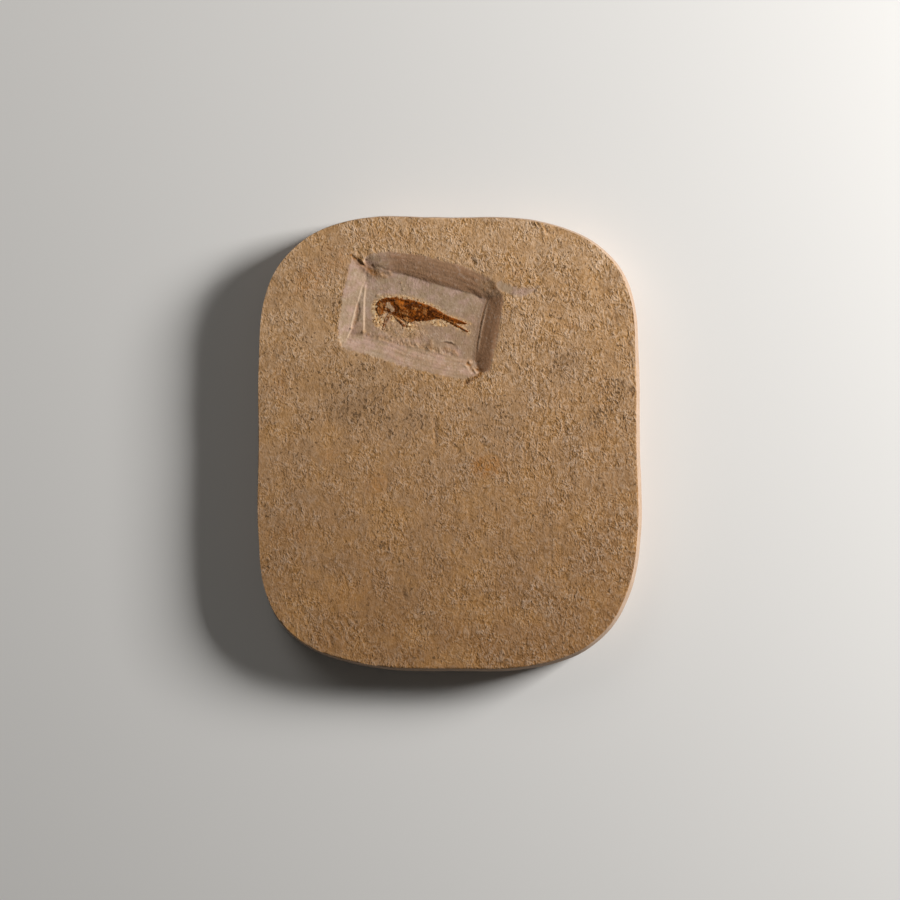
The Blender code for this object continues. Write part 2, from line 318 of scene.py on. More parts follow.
def window_height(x, y):
    """Height over the face, the number of the highest strip, the places across and along that strip, how
    much of the floor is here, from 0 to 1, and how far inside the window's outer lines."""
    height = np.full(x.shape, -WINDOW_DEPTH)
    which = np.full(x.shape, -1)
    across, down, floor = np.zeros(x.shape), np.zeros(x.shape), np.ones(x.shape)
    inwards = np.full(x.shape, 99.0)
    for number, strip in enumerate(STRIPS.values()):
        outer, along, run = line(x, y, strip["outer"])
        inner, _, _ = line(x, y, strip["inner"])
        slope = np.clip(outer / np.maximum(outer - inner, 1e-6), 0, 1)
        slope = np.where(inner > 0, 1.0, slope)
        slope = slope * slope * (1 + strip["soft"]) / (slope + strip["soft"])
        share = along / run
        slope = slope ** (1 - strip.get("dug_end", 0.0) * ease(0.86, 0.96, share))
        # Where the blade was lifted at the end of a stroke, the strip is shallower and its step gentler.
        lifted = strip.get("worn_end", 0.0) * ease(0.67, 0.89, share)
        foot = strip["foot"] * (1 - lifted) + strip.get("deep_start", 0.0) * ease(0.38, 0.24, share)
        step = (WINDOW_DEPTH - foot) * ease(0, strip["step_width"] + 2.2 * lifted, inner)
        here = -np.where(outer > 0, foot * slope + step, 0.0)
        higher = here > height + 1e-9
        height = np.where(higher, here, height)
        which = np.where(higher, number, which)
        across, down = np.where(higher, outer, across), np.where(higher, along, down)
        floor *= ease(0, 0.35, inner)
        inwards = np.minimum(inwards, outer)
    return height, which, across, down, floor, inwards


# %% Subdivide the faces of the window
FINE_MARGIN = 0.9
select_only(plate)
centres = face_centres(plate)
near_window = np.ones(len(centres), bool)
for strip in STRIPS.values():
    near_window &= line(centres[:, 0], centres[:, 1], strip["outer"])[0] > -FINE_MARGIN
near_window &= centres[:, 2] > -0.5
# The rim of the underside is still selected from the last step, so its edges are halved too.
edit_faces(plate, near_window)
bpy.ops.mesh.subdivide(number_cuts=1, quadcorner="INNERVERT")
bpy.ops.object.mode_set(mode="OBJECT")
print(near_window.sum(), "faces subdivided, now", len(plate.data.polygons))

# %% [markdown]
# ## The insect's outline
#
# The insect lies with its head to the left and its folded wings to the right, and the two wing tips
# stand apart. The outline is drawn once and used twice: the stone has a shallow mould inside it, and
# the insect's own relief rises inside it.
# %% Outline and limbs of the insect
BODY_OUTLINE = [
    (-14.7, 26.4), (-14.3, 25.6), (-13.6, 25.8), (-13.2, 26.5), (-12.6, 26.5), (-12.0, 26.0), (-11.3, 25.8),
    (-10.4, 25.3), (-9.5, 24.9), (-8.6, 24.3), (-7.7, 24.2), (-6.9, 24.5), (-6.0, 24.4), (-4.2, 24.6),
    (-2.8, 24.9), (-1.6, 24.8), (-0.4, 24.2), (1.0, 23.5), (2.4, 22.8), (3.6, 22.15), (3.95, 22.5),
    (2.8, 23.2), (1.5, 23.95), (2.7, 23.72), (3.95, 24.0), (2.2, 24.8), (0.4, 25.4), (-1.0, 26.1),
    (-2.4, 27.0), (-3.8, 27.7), (-5.2, 28.2), (-7.0, 28.8), (-9.0, 29.2), (-11.0, 29.45), (-12.6, 29.4),
    (-13.7, 29.1), (-14.6, 28.4), (-14.8, 27.4), (-14.7, 26.4),
]
# Knots, half width, and how faint the limb is, from 0 to 1.
LIMBS = {
    "fore leg": ([(-11.9, 26.2), (-12.8, 24.7), (-13.4, 23.0)], 0.44, 0.2),
    "second fore leg": ([(-12.2, 26.6), (-13.3, 26.1), (-13.7, 25.4)], 0.2, 0.3),
    "middle thigh": ([(-10.9, 25.8), (-10.0, 24.6), (-9.1, 23.6)], 0.52, 0.08),
    "middle shin": ([(-9.2, 23.5), (-9.5, 22.0)], 0.17, 0.6),
    "hind leg": ([(-7.6, 24.8), (-7.2, 23.5), (-7.8, 22.7), (-7.2, 22.2)], 0.2, 0.75),
    "hind foot": ([(-4.1, 24.6), (-3.9, 23.1)], 0.14, 0.8),
}
print("Outline of", len(BODY_OUTLINE), "points, and", len(LIMBS), "pieces of limbs")


def inside_body(x, y):
    """Distance to the body's outline, above 0 inside."""
    within = np.zeros(x.shape, bool)
    for (ax, ay), (bx, by) in zip(BODY_OUTLINE, BODY_OUTLINE[1:]):
        if ay != by:
            within ^= ((ay > y) != (by > y)) & (x < ax + (y - ay) * (bx - ax) / (by - ay))
    return abs(line(x, y, BODY_OUTLINE)[0]) * np.where(within, 1, -1)


# %% [markdown]
# ## Shaping the stone
#
# Everything that happened to the stone is one brush stroke or one mound: the blade's fine tracks
# along each strip, the burr it left at the foot of the right strip, the crack in the upper left
# corner, crumbs, pits, scratches and a shallow scrape beside the window. Places and sizes are listed
# first. Alongside the height, numbers from 0 to 1 are kept for each point, for the material: how much
# it was scraped, how rusty, grainy or sooty it is, how dark, partly with painted shadow, how brown,
# partly with painted shade, how pale, partly with a painted highlight, and where the halo and the
# ground edge lie.
# %% Small features of the stone
# In the upper left corner: the edge where a chip broke off, and the crack that runs on from it.
CHIP = [(-19.4, 37.4), (-17.8, 36.2), (-16.0, 34.75), (-14.4, 33.8)]
CRACK = [(-20.2, 38.1), (-19.4, 37.5), (-18.5, 36.85), (-17.8, 36.2), (-16.7, 35.4)]
# Lines: knots, half width, height (below 0 is a groove), rust, dark.
STONE_LINES = [
    ([(-20.3, 38.1)] + CRACK[1:], 0.3, -0.08, 1.3, 0.2),
    ([(-18.3, 37.2), (-17.5, 36.2)], 0.22, -0.04, 1.0, 0.0),
    ([(-16.8, 35.5), (-16.0, 34.7), (-15.1, 34.1), (-14.5, 33.8)], 0.42, -0.1, 1.0, 0.4),
    ([(-15.8, 36.0), (-15.0, 35.1)], 0.25, -0.1, 0.5, 0.3),
    # The dark of the next four lines, along the foot of the top and right strips and at the upper right
    # corner, is partly painted shadow of the small steps there.
    ([(-15.0, 35.95), (-14.1, 35.45), (-13.0, 35.05), (-11.0, 34.5)], 0.18, -0.08, 0.2, 0.5),
    ([(-11.0, 34.5), (-6.6, 33.35), (-1.4, 31.75), (2.0, 30.9)], 0.13, -0.06, 0.05, 0.4),
    ([(3.0, 31.1), (4.6, 30.4), (5.6, 29.6), (6.3, 28.6)], 0.3, -0.06, 0.1, 0.3),
    ([(7.55, 29.9), (7.1, 28.2), (6.6, 26.1), (6.1, 23.4), (5.7, 20.7), (5.3, 18.0)], 0.14, -0.04, 0.4, 0.2),
    ([(-18.7, 28.9), (-18.45, 27.1), (-18.7, 25.1), (-19.3, 23.4)], 0.3, -0.12, 0.55, 0.25),
    ([(-18.3, 28.4), (-18.1, 26.6), (-18.6, 24.0)], 0.1, -0.1, 0.2, 0.6),
    ([(-1.6, 20.35), (-0.5, 20.3), (0.3, 20.1), (1.2, 19.6)], 0.15, -0.13, 0.3, 0.95),
    ([(5.2, 15.5), (5.95, 14.7), (6.15, 14.0), (5.6, 13.5), (4.6, 13.3)], 0.34, -0.08, 1.7, 0.35),
    ([(5.2, 13.5), (4.4, 12.9), (3.7, 12.4), (2.9, 11.8)], 0.32, -0.14, 1.0, 0.75),
    ([(3.2, 16.4), (4.2, 15.3), (4.8, 14.4)], 0.28, -0.1, 1.6, 0.25),
    ([(3.0, 16.9), (3.9, 16.4), (4.4, 15.5)], 0.5, 0.03, 0.45, 0.0),
    ([(4.2, 37.7), (4.9, 35.7)], 0.28, -0.28, 0.1, 0.6),
    ([(18.3, 44.3), (18.6, 43.0), (19.0, 41.6)], 0.22, 0.12, 0.0, 0.0),
    ([(18.9, 44.4), (19.2, 43.0), (19.5, 41.8)], 0.2, -0.2, 0.1, 0.4),
    ([(19.4, 41.9), (21.0, 42.4), (22.6, 43.0)], 0.2, -0.14, 0.1, 0.3),
    ([(16.5, 30.1), (17.5, 31.1)], 0.2, -0.2, 0.1, 0.6),
    ([(11.3, 29.2), (12.3, 29.9), (13.0, 30.4)], 0.12, -0.1, 0.0, 0.35),
    ([(11.0, 26.1), (12.4, 26.6), (13.3, 27.5)], 0.18, -0.16, 0.0, 0.4),
    ([(13.3, 26.6), (14.8, 24.6), (15.3, 22.0)], 0.2, -0.14, 0.0, 0.3),
    ([(-3.2, 5.7), (-2.8, 2.5), (-2.8, -0.7)], 0.35, -0.18, 0.05, 0.3),
    ([(32.5, 27.7), (33.5, 23.7)], 0.18, -0.18, 0.0, 0.4),
    ([(35.6, 11.2), (36.6, 9.6), (37.0, 11.2)], 0.22, -0.2, 0.1, 0.5),
    ([(21.0, 2.7), (20.3, -8.0), (20.0, -18.0), (20.9, -31.0)], 0.16, -0.09, 0.0, 0.25),
    ([(23.4, 5.0), (22.4, -1.5)], 0.16, -0.12, 0.0, 0.25),
    ([(-24.1, -38.3), (-23.5, -40.8)], 0.2, -0.2, 0.0, 0.4),
    ([(-9.4, -29.0), (-8.8, -31.4)], 0.35, -0.12, 0.05, 0.55),
    ([(-8.0, -27.6), (-7.9, -28.6)], 0.2, -0.12, 0.0, 0.5),
]
# Burrs raised by the blade: knots, half width, height, and how pale they are; the paleness is partly fresh
# stone and partly a painted highlight on the sides the key light catches.
BURRS = [
    ([(7.95, 29.5), (7.4, 27.5), (6.85, 25.3), (6.25, 22.7), (5.7, 19.7), (5.35, 17.4)], 0.17, 0.1, 0.6),
    ([(-17.2, 32.6), (-18.6, 28.1), (-19.7, 24.0), (-19.8, 22.9), (-21.5, 19.2)], 0.15, 0.07, 0.75),
    ([(-16.9, 31.5), (-17.15, 28.7), (-17.2, 24.5), (-17.2, 22.1)], 0.13, 0.06, 0.75),
    ([(3.9, 16.8), (4.0, 15.9)], 0.22, 0.16, 0.35),
    ([(2.7, 15.9), (3.4, 15.35), (4.0, 15.2)], 0.18, 0.14, 0.3),
    ([(4.05, 15.5), (4.7, 14.9), (5.3, 14.1), (5.7, 13.9)], 0.22, 0.24, 0.3),
    ([(5.0, 15.5), (5.75, 14.85)], 0.2, 0.16, 0.3),
    ([(5.3, 13.7), (4.7, 13.6), (4.2, 13.1), (3.7, 12.5)], 0.22, 0.22, 0.15),
    ([(-2.2, 20.45), (-0.8, 20.62), (0.2, 20.45), (1.0, 20.0)], 0.14, 0.08, 0.75),
    ([(-9.2, 23.5), (-9.4, 22.8), (-9.6, 22.0)], 0.18, 0.06, 0.8),
]
# Mounds: centre, half length, half width, turn, height, rust, dark.
STONE_MOUNDS = [
    ((-13.7, 34.0), 1.7, 0.8, -25, 0.16, 0.35, 0.05),
    ((-12.2, 34.1), 1.0, 0.6, -20, 0.12, 0.3, 0.1),
    ((8.7, 31.4), 0.9, 0.6, -35, 0.05, 0.6, 0.0),
    ((8.9, 31.2), 0.45, 0.35, 0, 0.05, 0.95, 0.15),
    ((7.4, 30.6), 1.1, 0.5, -25, 0.05, 0.4, 0.0),
    ((-17.2, 22.4), 0.6, 0.5, 0, 0.14, 0.1, 0.0),
    ((-16.3, 21.9), 0.5, 0.35, 40, 0.1, 0.6, 0.05),
    ((-19.7, 23.1), 0.35, 0.3, 0, 0.16, 0.3, 0.0),
    ((-9.8, 32.2), 0.35, 0.3, 0, 0.12, 0.1, 0.0),
    ((-9.4, 30.9), 0.3, 0.25, 0, 0.12, 0.1, 0.0),
    ((-13.8, 31.0), 0.32, 0.28, 0, 0.1, 0.1, 0.0),
    ((-14.5, 29.7), 0.55, 0.3, 30, 0.14, 0.25, 0.0),
    ((-11.8, 21.4), 0.28, 0.26, 0, -0.16, 0.0, 0.9),
    ((-8.1, 21.4), 0.28, 0.24, 0, -0.16, 0.0, 0.8),
    ((-4.0, 19.6), 0.8, 1.5, -12, 0.14, 0.25, 0.35),
    ((-0.6, 19.0), 1.0, 0.7, -30, 0.1, 0.3, 0.1),
    ((1.0, 18.2), 1.1, 0.6, -40, 0.12, 0.35, 0.05),
    ((5.75, 16.4), 0.4, 0.35, 0, -0.05, 0.5, 0.6),
]
# Patches of fine dark specks: centre, half length, half width, turn, strength.
SOOTY = [
    ((-19.0, 8.0), 9.0, 6.5, -20, 1.0), ((-24.0, 13.0), 5.0, 4.0, 0, 0.7), ((-8.0, 4.0), 6.0, 4.0, 0, 0.7),
    ((33.0, 11.0), 4.6, 2.8, 0, 1.0), ((29.6, 5.4), 4.6, 2.6, 20, 1.0), ((24.0, 15.0), 6.0, 4.0, 0, 0.6),
    ((-17.0, 15.0), 5.0, 3.0, 0, 0.7), ((-25.0, 38.0), 4.0, 2.4, 30, 0.5), ((-8.8, -29.2), 1.8, 1.8, 0, 0.9),
    ((10.0, 4.0), 7.0, 4.0, 0, 0.5), ((20.0, 37.0), 5.0, 4.0, 0, 0.5), ((-24.0, 27.0), 3.0, 3.5, 0, 0.6),
]
# Soft stains of iron on the face: centre, half length, half width, turn, strength.
STAINS = [
    ((7.4, -4.6), 4.2, 2.7, 0, 1.1), ((-14.8, -7.9), 2.6, 3.6, -20, 0.55), ((24.8, 23.8), 1.5, 1.2, 0, 0.5),
    ((-31.9, -17.3), 1.8, 1.4, 0, 0.5), ((-29.8, -18.5), 1.6, 1.2, 30, 0.5),
    ((-24.0, -2.3), 2.6, 1.6, 20, 0.4), ((-27.5, 33.0), 6.0, 3.6, 40, 0.6), ((-23.0, 36.5), 4.0, 5.0, 0, 0.5),
    ((-14.0, 41.0), 9.0, 1.8, 0, 0.3), ((13.0, 33.8), 2.6, 1.6, 20, 0.35), ((31.0, 12.0), 2.2, 3.6, 0, 0.25),
    ((-34.0, 12.0), 2.0, 5.0, 0, 0.35), ((-20.0, -30.0), 8.0, 5.0, 20, 0.2),
    ((30.5, 2.5), 2.4, 1.8, 0, 0.3), ((-6.0, 44.0), 3.0, 0.8, 0, 0.3),
]

# %% [markdown]
# ## The window and its corners
#
# The four strips' heights come first, and the corners after them, because that is where the strokes
# did not come out clean. In the upper left corner stone broke away along a crack, and a wedge of the
# face was left beside it. In the upper right corner the two strokes ran into each other.
# %% Scrape the window
TOP_START = [(-16.7, 35.7), (-17.0, 36.5), (-16.8, 37.3), (-15.9, 38.0), (-14.6, 38.4)]
points = points_of(plate)
x, y, level = points[:, 0], points[:, 1], -points[:, 2].round().astype(int)
on_face = level == 0
height, which, across, down, floor, inwards = window_height(x, y)
wedge = ease(-0.1, 0.3, line(x, y, CRACK)[0]) * ease(-0.2, 0.4, line(x, y, TOP_START)[0])
height, inwards = height * (1 - wedge), inwards * (1 - wedge) - 0.5 * wedge
height, floor = height * on_face, floor * on_face
scraped = ease(-0.05, 0.4, inwards + 0.25 * crumble(x, y, 1.0, 8)) * on_face
on_strip = scraped * (1 - floor)

# The blade's tracks run along each strip, deepest on the bottom one. The last number is for the floor.
TRACK_STRENGTH = np.array([1.0, 2.0, 0.6, 1.0, 0.0])
wide_tracks = ripple(down / 14 + 40 * which, across, 0.55, 5)
tracks = wide_tracks + 0.5 * ripple(down / 9 + 40 * which, across, 0.36, 6)
chatter = ripple(down, across / 4, 1.1, 7)
height += on_strip * (0.036 * tracks + 0.012 * chatter) * TRACK_STRENGTH[which]
# The rim of each strip is slightly ragged, because grains broke away.
rim = np.exp(-((height + 0.06) / 0.07) ** 2) * on_face
height -= rim * 0.012 * crumble(x, y, 0.8, 11)
print("Scraped", int((scraped > 0.5).sum()), "of", len(x), "points")

# %% Break the corners
RAMP_TOP, RAMP_DROP = 0.12, 0.95
chip, chip_along, chip_run = line(x, y, CHIP)
ramp = 0.8 * ease(1.7, 0.1, abs(chip)) * ease(0.0, 0.9, inwards) * on_face
height += ramp * (-RAMP_TOP - RAMP_DROP * chip_along / chip_run - height)
height += ramp * 0.08 * crumble(x, y, 0.7, 12)
corner = ease(0.0, 1.0, mound(x, y, (8.3, 31.4), 3.6, 2.7, -32)) * ease(0.0, 0.5, inwards) * on_face
height += 0.85 * corner * (-0.26 * inwards + 0.06 * crumble(x, y, 0.9, 13) - height)
print("Ramp on", int((ramp > 0.1).sum()), "points, rough corner on", int((corner > 0.1).sum()))

# %% Leave a ledge and a shelf on the floor
LEDGE_RISE, SHELF_RISE = 0.24, 0.11
# Between the two pale steps on the left the bedding was only broken back, so it sits higher.
ledge = line(x, y, [(-16.6, 33.4), (-17.15, 28.7), (-17.2, 24.5), (-17.2, 21.0)])[0]
above_foot = line(x, y, STRIPS["bottom"]["inner"])[0]
between = floor * ease(0.12, -0.12, ledge) * ease(0.0, 1.4, above_foot) * ease(32.4, 31.0, y)
height += between * (LEDGE_RISE + 0.03 * crumble(x, y, 1.2, 21))
# A grainy shelf is left along the foot of the bottom strip.
shelf = floor * ease(2.0, 0.9, above_foot) * ease(-16.4, -14.0, x) * ease(2.5, -2.0, x)
height += shelf * (SHELF_RISE + 0.1 * crumble(x, y, 0.8, 31))
# The floor follows the bedding, with low swells.
height += floor * (0.03 * ripple(x, y, 4.5, 41) + 0.012 * ripple(x, y, 1.3, 42))
print("Floor at", round(float(FACE_HEIGHT + height[floor > 0.9].mean()), 2), "mm")

# %% [markdown]
# ## Marks, crumbs and stains
#
# The listed lines and mounds are worked in one after another. Where two of them cross, the stronger
# one gives the colour, so each mask takes the larger value and never adds up.
# %% Work in the lines and mounds
# The strips that face away from the key light are browner: painted shade. The blade's tracks add brown
# streaks.
browns = np.array([strip["brown_and_painted_shade"] for strip in STRIPS.values()] + [0.0])
brown_and_painted_shade = (browns[which] + 0.35 * np.clip(tracks, 0, 1)) * on_strip * (1 - 0.6 * corner)
# From x = -9 to -15 the strips' painted shade fades, so the top strip begins as pale as the left one,
# where it is nearly flat. The chip's ramp, which lies in shade, is painted brown.
brown_and_painted_shade = np.maximum(brown_and_painted_shade * (1 - 0.8 * ease(-9.0, -15.0, x)), 0.8 * ramp)
# The floor is browner from y = 27.5 downwards, and towards the right as the painted shadow of the right
# strip's wall.
brown_and_painted_shade += floor * (0.25 * ease(27.5, 24.0, y) + 0.15 * ease(2.0, 6.0, x))
rust, dark, grainy = 0.3 * corner, np.zeros(len(x)), np.maximum(shelf * 0.8, 0.7 * corner)
wander, broken = 0.12 * ripple(x, y, 0.9, 51), 1 + 0.5 * ripple(x, y, 0.6, 52)
for knots, half, rise, rusty, darkness in STONE_LINES:
    mark = stroke(x + wander, y + wander, knots, half, 0.2) * on_face
    height += rise * mark * broken
    rust = np.maximum(rust, rusty * mark)
    dark = np.maximum(dark, darkness * mark ** 1.5)
pale_and_painted_highlight = np.zeros(len(x))
wander, broken = 0.08 * ripple(x, y, 0.9, 53), 1 + 0.4 * ripple(x, y, 0.6, 54)
for knots, half, rise, paleness_and_highlight in BURRS:
    mark = stroke(x + wander, y + wander, knots, half, 0.2) * on_face
    height += rise * mark * broken
    pale_and_painted_highlight = np.maximum(pale_and_painted_highlight, paleness_and_highlight * mark)
broken = 1 + 0.4 * crumble(x, y, 0.6, 61)
for centre, long, wide, turn, rise, rusty, darkness in STONE_MOUNDS:
    hump = mound(x, y, centre, long, wide, turn) * on_face
    hump = np.clip(hump * broken, 0, 1)
    height += rise * hump
    rust, dark = np.maximum(rust, rusty * hump), np.maximum(dark, darkness * hump)
    grainy = np.maximum(grainy, 0.6 * ease(0, 0.3, hump))
print(len(STONE_LINES), "lines,", len(BURRS), "burrs and", len(STONE_MOUNDS), "mounds")

# %% Stain the face and scrape it beside the window
soot = np.zeros(len(x))
patchy = 0.75 + 0.5 * crumble(x, y, 1.6, 71)
for centre, long, wide, turn, strength in STAINS:
    blot = mound(x, y, centre, long, wide, turn) * patchy
    rust = np.maximum(rust, strength * np.clip(blot, 0, 1) * (1 - scraped))
for centre, long, wide, turn, strength in SOOTY:
    patch = np.clip(1.5 * mound(x, y, centre, long, wide, turn), 0, 1)
    soot = np.maximum(soot, strength * patch * (1 - scraped))
# The scrape is smooth and very shallow, and narrower to its end.
SCRAPE = [(10.0, 31.6), (11.8, 30.8), (14.1, 30.2), (16.2, 30.7), (17.7, 31.4)]
side, side_along, side_run = line(x, y, SCRAPE)
smear_half = 0.85 - 0.65 * ease(0.55, 1.0, side_along / side_run)
smear_edge = abs(side) - smear_half + 0.25 * crumble(x, y, 0.9, 81)
smear = on_face * ease(0.25, -0.2, smear_edge) * (1 - scraped)
SCRAPE_DEPTH = 0.06
height -= SCRAPE_DEPTH * smear
scraped = np.maximum(scraped, 0.85 * smear)
print(len(STAINS), "stains and", len(SOOTY), "patches of specks")

# %% [markdown]
# ## The halo and the mould
#
# Iron seeped out of the insect into the floor and left a golden halo of crumbly grains, wider at the
# head and under the legs. The insect itself lies in a mould, so the stone is sunk under it, a little
# inside its edge. Limbs that are only a film have no mould.
# %% Lay the halo round the insect and sink its mould
body = inside_body(x, y)
under = ease(0.5, -1.5, y - 27.2 + 0.3 * (x + 13))
reach = 0.55 + 0.5 * ease(0.0, -6.0, x) + 0.4 * crumble(x, y, 0.9, 91) + 0.5 * under
halo = floor * ease(reach, 0.0, -body) * (0.7 + 0.6 * crumble(x, y, 0.5, 92)) * (1 - 0.3 * under)
# Patches where more iron seeped out: strength, centre, half length, half width, turn.
SEEPS = [
    (1.0, (-14.2, 24.9), 1.5, 2.2, 14), (1.0, (-14.9, 27.2), 0.9, 2.0, 0), (1.0, (-8.2, 23.8), 1.7, 1.2, -20),
    (0.9, (-2.4, 24.1), 2.3, 0.7, -12), (0.9, (-11.3, 25.3), 1.1, 1.0, 0),
]
seep = 0.45 * stroke(x, y, [(-7.6, 24.4), (-7.4, 23.4), (-7.9, 22.6), (-7.0, 22.0)], 0.4)
for strength, centre, long, wide, turn in SEEPS:
    seep = np.maximum(seep, strength * mound(x, y, centre, long, wide, turn))
seep = floor * np.clip(2.0 * seep * (0.75 + 0.7 * crumble(x, y, 0.5, 93)), 0, 1)
halo = np.clip(np.maximum(halo, seep), 0, 1)
# Below the insect the floor is coarser, down to the shelf.
legs_zone = floor * np.clip(1.6 * mound(x, y, (-9.5, 22.9), 6.4, 2.3, -8), 0, 1)
grainy = np.maximum(grainy, 0.8 * np.maximum(legs_zone, halo))
height += (0.07 * legs_zone + 0.06 * halo) * crumble(x, y, 0.42, 98)
halo = np.maximum(halo, 0.14 * legs_zone)
solid_limbs = [(knots, half) for knots, half, faint in LIMBS.values() if faint < 0.5]
limb_reach = np.max([half - 0.05 - abs(line(x, y, knots)[0]) for knots, half in solid_limbs], axis=0)
mould = floor * np.maximum(ease(0.25, 0.55, body), ease(0.1, 0.22, limb_reach))
MOULD_DEPTH = 0.2
height -= MOULD_DEPTH * mould
print("Halo on", int((halo > 0.3).sum()), "points, mould on", int((mould > 0.5).sum()))

# %% Give the face its skin
# It is leathery: low bumps a little longer along the plate, a few narrow creases, and wide swells.
uncut = on_face * (1 - scraped)
skin = uncut + 0.5 * grainy
bend = 0.9 * ripple(x, y, 3.0, 105)
bumps = 0.04 * ripple(x + 0.4 * bend, 0.62 * y, 1.5, 106)
bumps += 0.03 * ripple(x, 0.7 * y + 0.4 * bend, 0.85, 102)
creases = ease(0.14, 0.0, abs(ripple(x + bend, 0.55 * y - bend, 3.4, 101)))
creases *= ease(0.0, 0.5, ripple(x, y, 5.0, 108))
height += skin * (bumps - 0.05 * creases)
height += uncut * (0.045 * ripple(x, y, 9.0, 103) + 0.04 * ripple(x, 0.8 * y, 3.6, 104))
height += on_face * scraped * 0.012 * crumble(x, y, 0.7, 107)
points[:, 2] = np.where(on_face, np.minimum(FACE_HEIGHT + height, HIGHEST), points[:, 2])
lowest, highest = np.percentile(height[uncut > 0.9], (1, 99))
print(f"The skin's bumps run from {lowest:.2f} to {highest:.2f} mm")

# %% [markdown]
# ## The ground edge
#
# Each extruded ring is now pulled to its place: inwards from the outline and down. Grinding left faint
# flats, and the fine layers of the stone stand out a little.
# %% Pull the edge's rings to their places
MEAN_RADIUS = 40
angle = np.arctan2(y, x)
for number, (inset, edge_height) in enumerate(EDGE_LEVELS, 1):
    here = level == number
    around = angle[here] * MEAN_RADIUS
    flats = 0.05 * ripple(around, np.full(around.shape, edge_height / 3), 4.0, 111)
    layers = 0.03 * ripple(around / 8, np.full(around.shape, edge_height), 0.9, 112)
    grains = 0.012 * ripple(around, around * 0 + edge_height, 0.7, 113)
    fade = min(1.0, edge_height / 0.5)
    edge_x, edge_y = outline_at(angle[here], inset)
    if edge_height > BELLY_HEIGHT:
        edge_x = edge_x + inset / FACE_INSET * FACE_LEAN[0]
        edge_y = edge_y + inset / FACE_INSET * FACE_LEAN[1]
    shrink = 1 - fade * (0.07 + flats + layers + grains) / MEAN_RADIUS
    points[here, 0], points[here, 1], points[here, 2] = edge_x * shrink, edge_y * shrink, edge_height
place_points(plate, points)
STONE_MASKS = {
    "scraped": scraped, "rust": rust, "halo": halo, "dark": dark, "grainy": grainy, "brown_and_painted_shade": brown_and_painted_shade,
    "pale_and_painted_highlight": pale_and_painted_highlight, "soot": soot, "ground": np.where(on_face, 0.0, ease(0, 1.5, level.astype(float))),
}
for name, values in STONE_MASKS.items():
    paint(plate, name, values)
print("Plate of", sum(len(face.vertices) - 2 for face in plate.data.polygons), "triangles")

# %% Smooth the shading and join the plate to the frame
select_only(plate)
bpy.ops.object.shade_smooth_by_angle(angle=math.radians(80))
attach(plate, "root")
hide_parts("limestone_plate")

# %% [markdown]
# ## The insect
#
# The fossil is a low relief: the body was pressed nearly flat, and iron oxide filled what was left.
# So it is a grid too, finer than the stone's. Its faces outside the insect are deleted, the rest is
# extruded down into the mould, and then the top is worked with the same brushes.
# %% Cut the grid to the insect's outline
INSECT_STEP = 0.07
INSECT_LOW, INSECT_HIGH = (-15.4, 21.4), (4.4, 29.8)
FLOOR_HEIGHT = FACE_HEIGHT - WINDOW_DEPTH
grid_width, grid_height = INSECT_HIGH[0] - INSECT_LOW[0], INSECT_HIGH[1] - INSECT_LOW[1]
middle = ((INSECT_LOW[0] + INSECT_HIGH[0]) / 2, (INSECT_LOW[1] + INSECT_HIGH[1]) / 2)
deselect_all()
bpy.ops.mesh.primitive_grid_add(
    x_subdivisions=round(grid_width / INSECT_STEP), y_subdivisions=round(grid_height / INSECT_STEP),
    size=1, location=(middle[0] * MM, middle[1] * MM, FLOOR_HEIGHT * MM),
)
insect = bpy.context.active_object
insect.name = insect.data.name = "lacewing_relief"
bpy.ops.object.mode_set(mode="EDIT")
bpy.ops.transform.resize(value=(grid_width * MM, grid_height * MM, 1))
bpy.ops.object.mode_set(mode="OBJECT")
bpy.ops.object.transform_apply(location=True, rotation=True, scale=True)


def limb_distance(x, y):
    """Distance to the nearest limb's skin, above 0 inside, and how faint that limb is. The limbs are thinner
    towards their ends and broken up."""
    best, faintness = np.full(x.shape, -9.0), np.zeros(x.shape)
    for knots, half, faint in LIMBS.values():
        distance, along, run = line(x + 0.1 * ripple(x, y, 0.7, 205), y, knots)
        skin = half * (1.0 - 0.5 * along / run) - abs(distance)
        faintness = np.where(skin > best, faint + 0.3 * along / run, faintness)
        best = np.maximum(best, skin)
    return best + 0.1 * ripple(x, y, 0.6, 206), faintness


def ragged_outline(x, y):
    """Distance to the insect's edge, above 0 inside, with the edge crumbled."""
    rough = 0.13 + 0.13 * ease(1.0, -2.0, x) + 0.14 * ease(-7.0, -11.0, x)
    solid = inside_body(x, y) + rough * crumble(x, y, 0.65, 201) + 0.09 * ripple(x, y, 0.27, 204)
    return np.maximum(solid, limb_distance(x, y)[0])


# The outermost grains are a thin film, which reaches this far past the outline.
FILM_WIDTH = 0.16
centres = face_centres(insect)
edit_faces(insect, ragged_outline(centres[:, 0], centres[:, 1]) < -FILM_WIDTH)
bpy.ops.mesh.delete(type="FACE")
bpy.ops.mesh.select_all(action="SELECT")
bpy.ops.mesh.extrude_region_move(TRANSFORM_OT_translate={"value": (0, 0, -MM)})
bpy.ops.mesh.select_all(action="SELECT")
bpy.ops.mesh.normals_make_consistent(inside=False)
bpy.ops.object.mode_set(mode="OBJECT")
print("Insect of", len(insect.data.polygons), "faces")

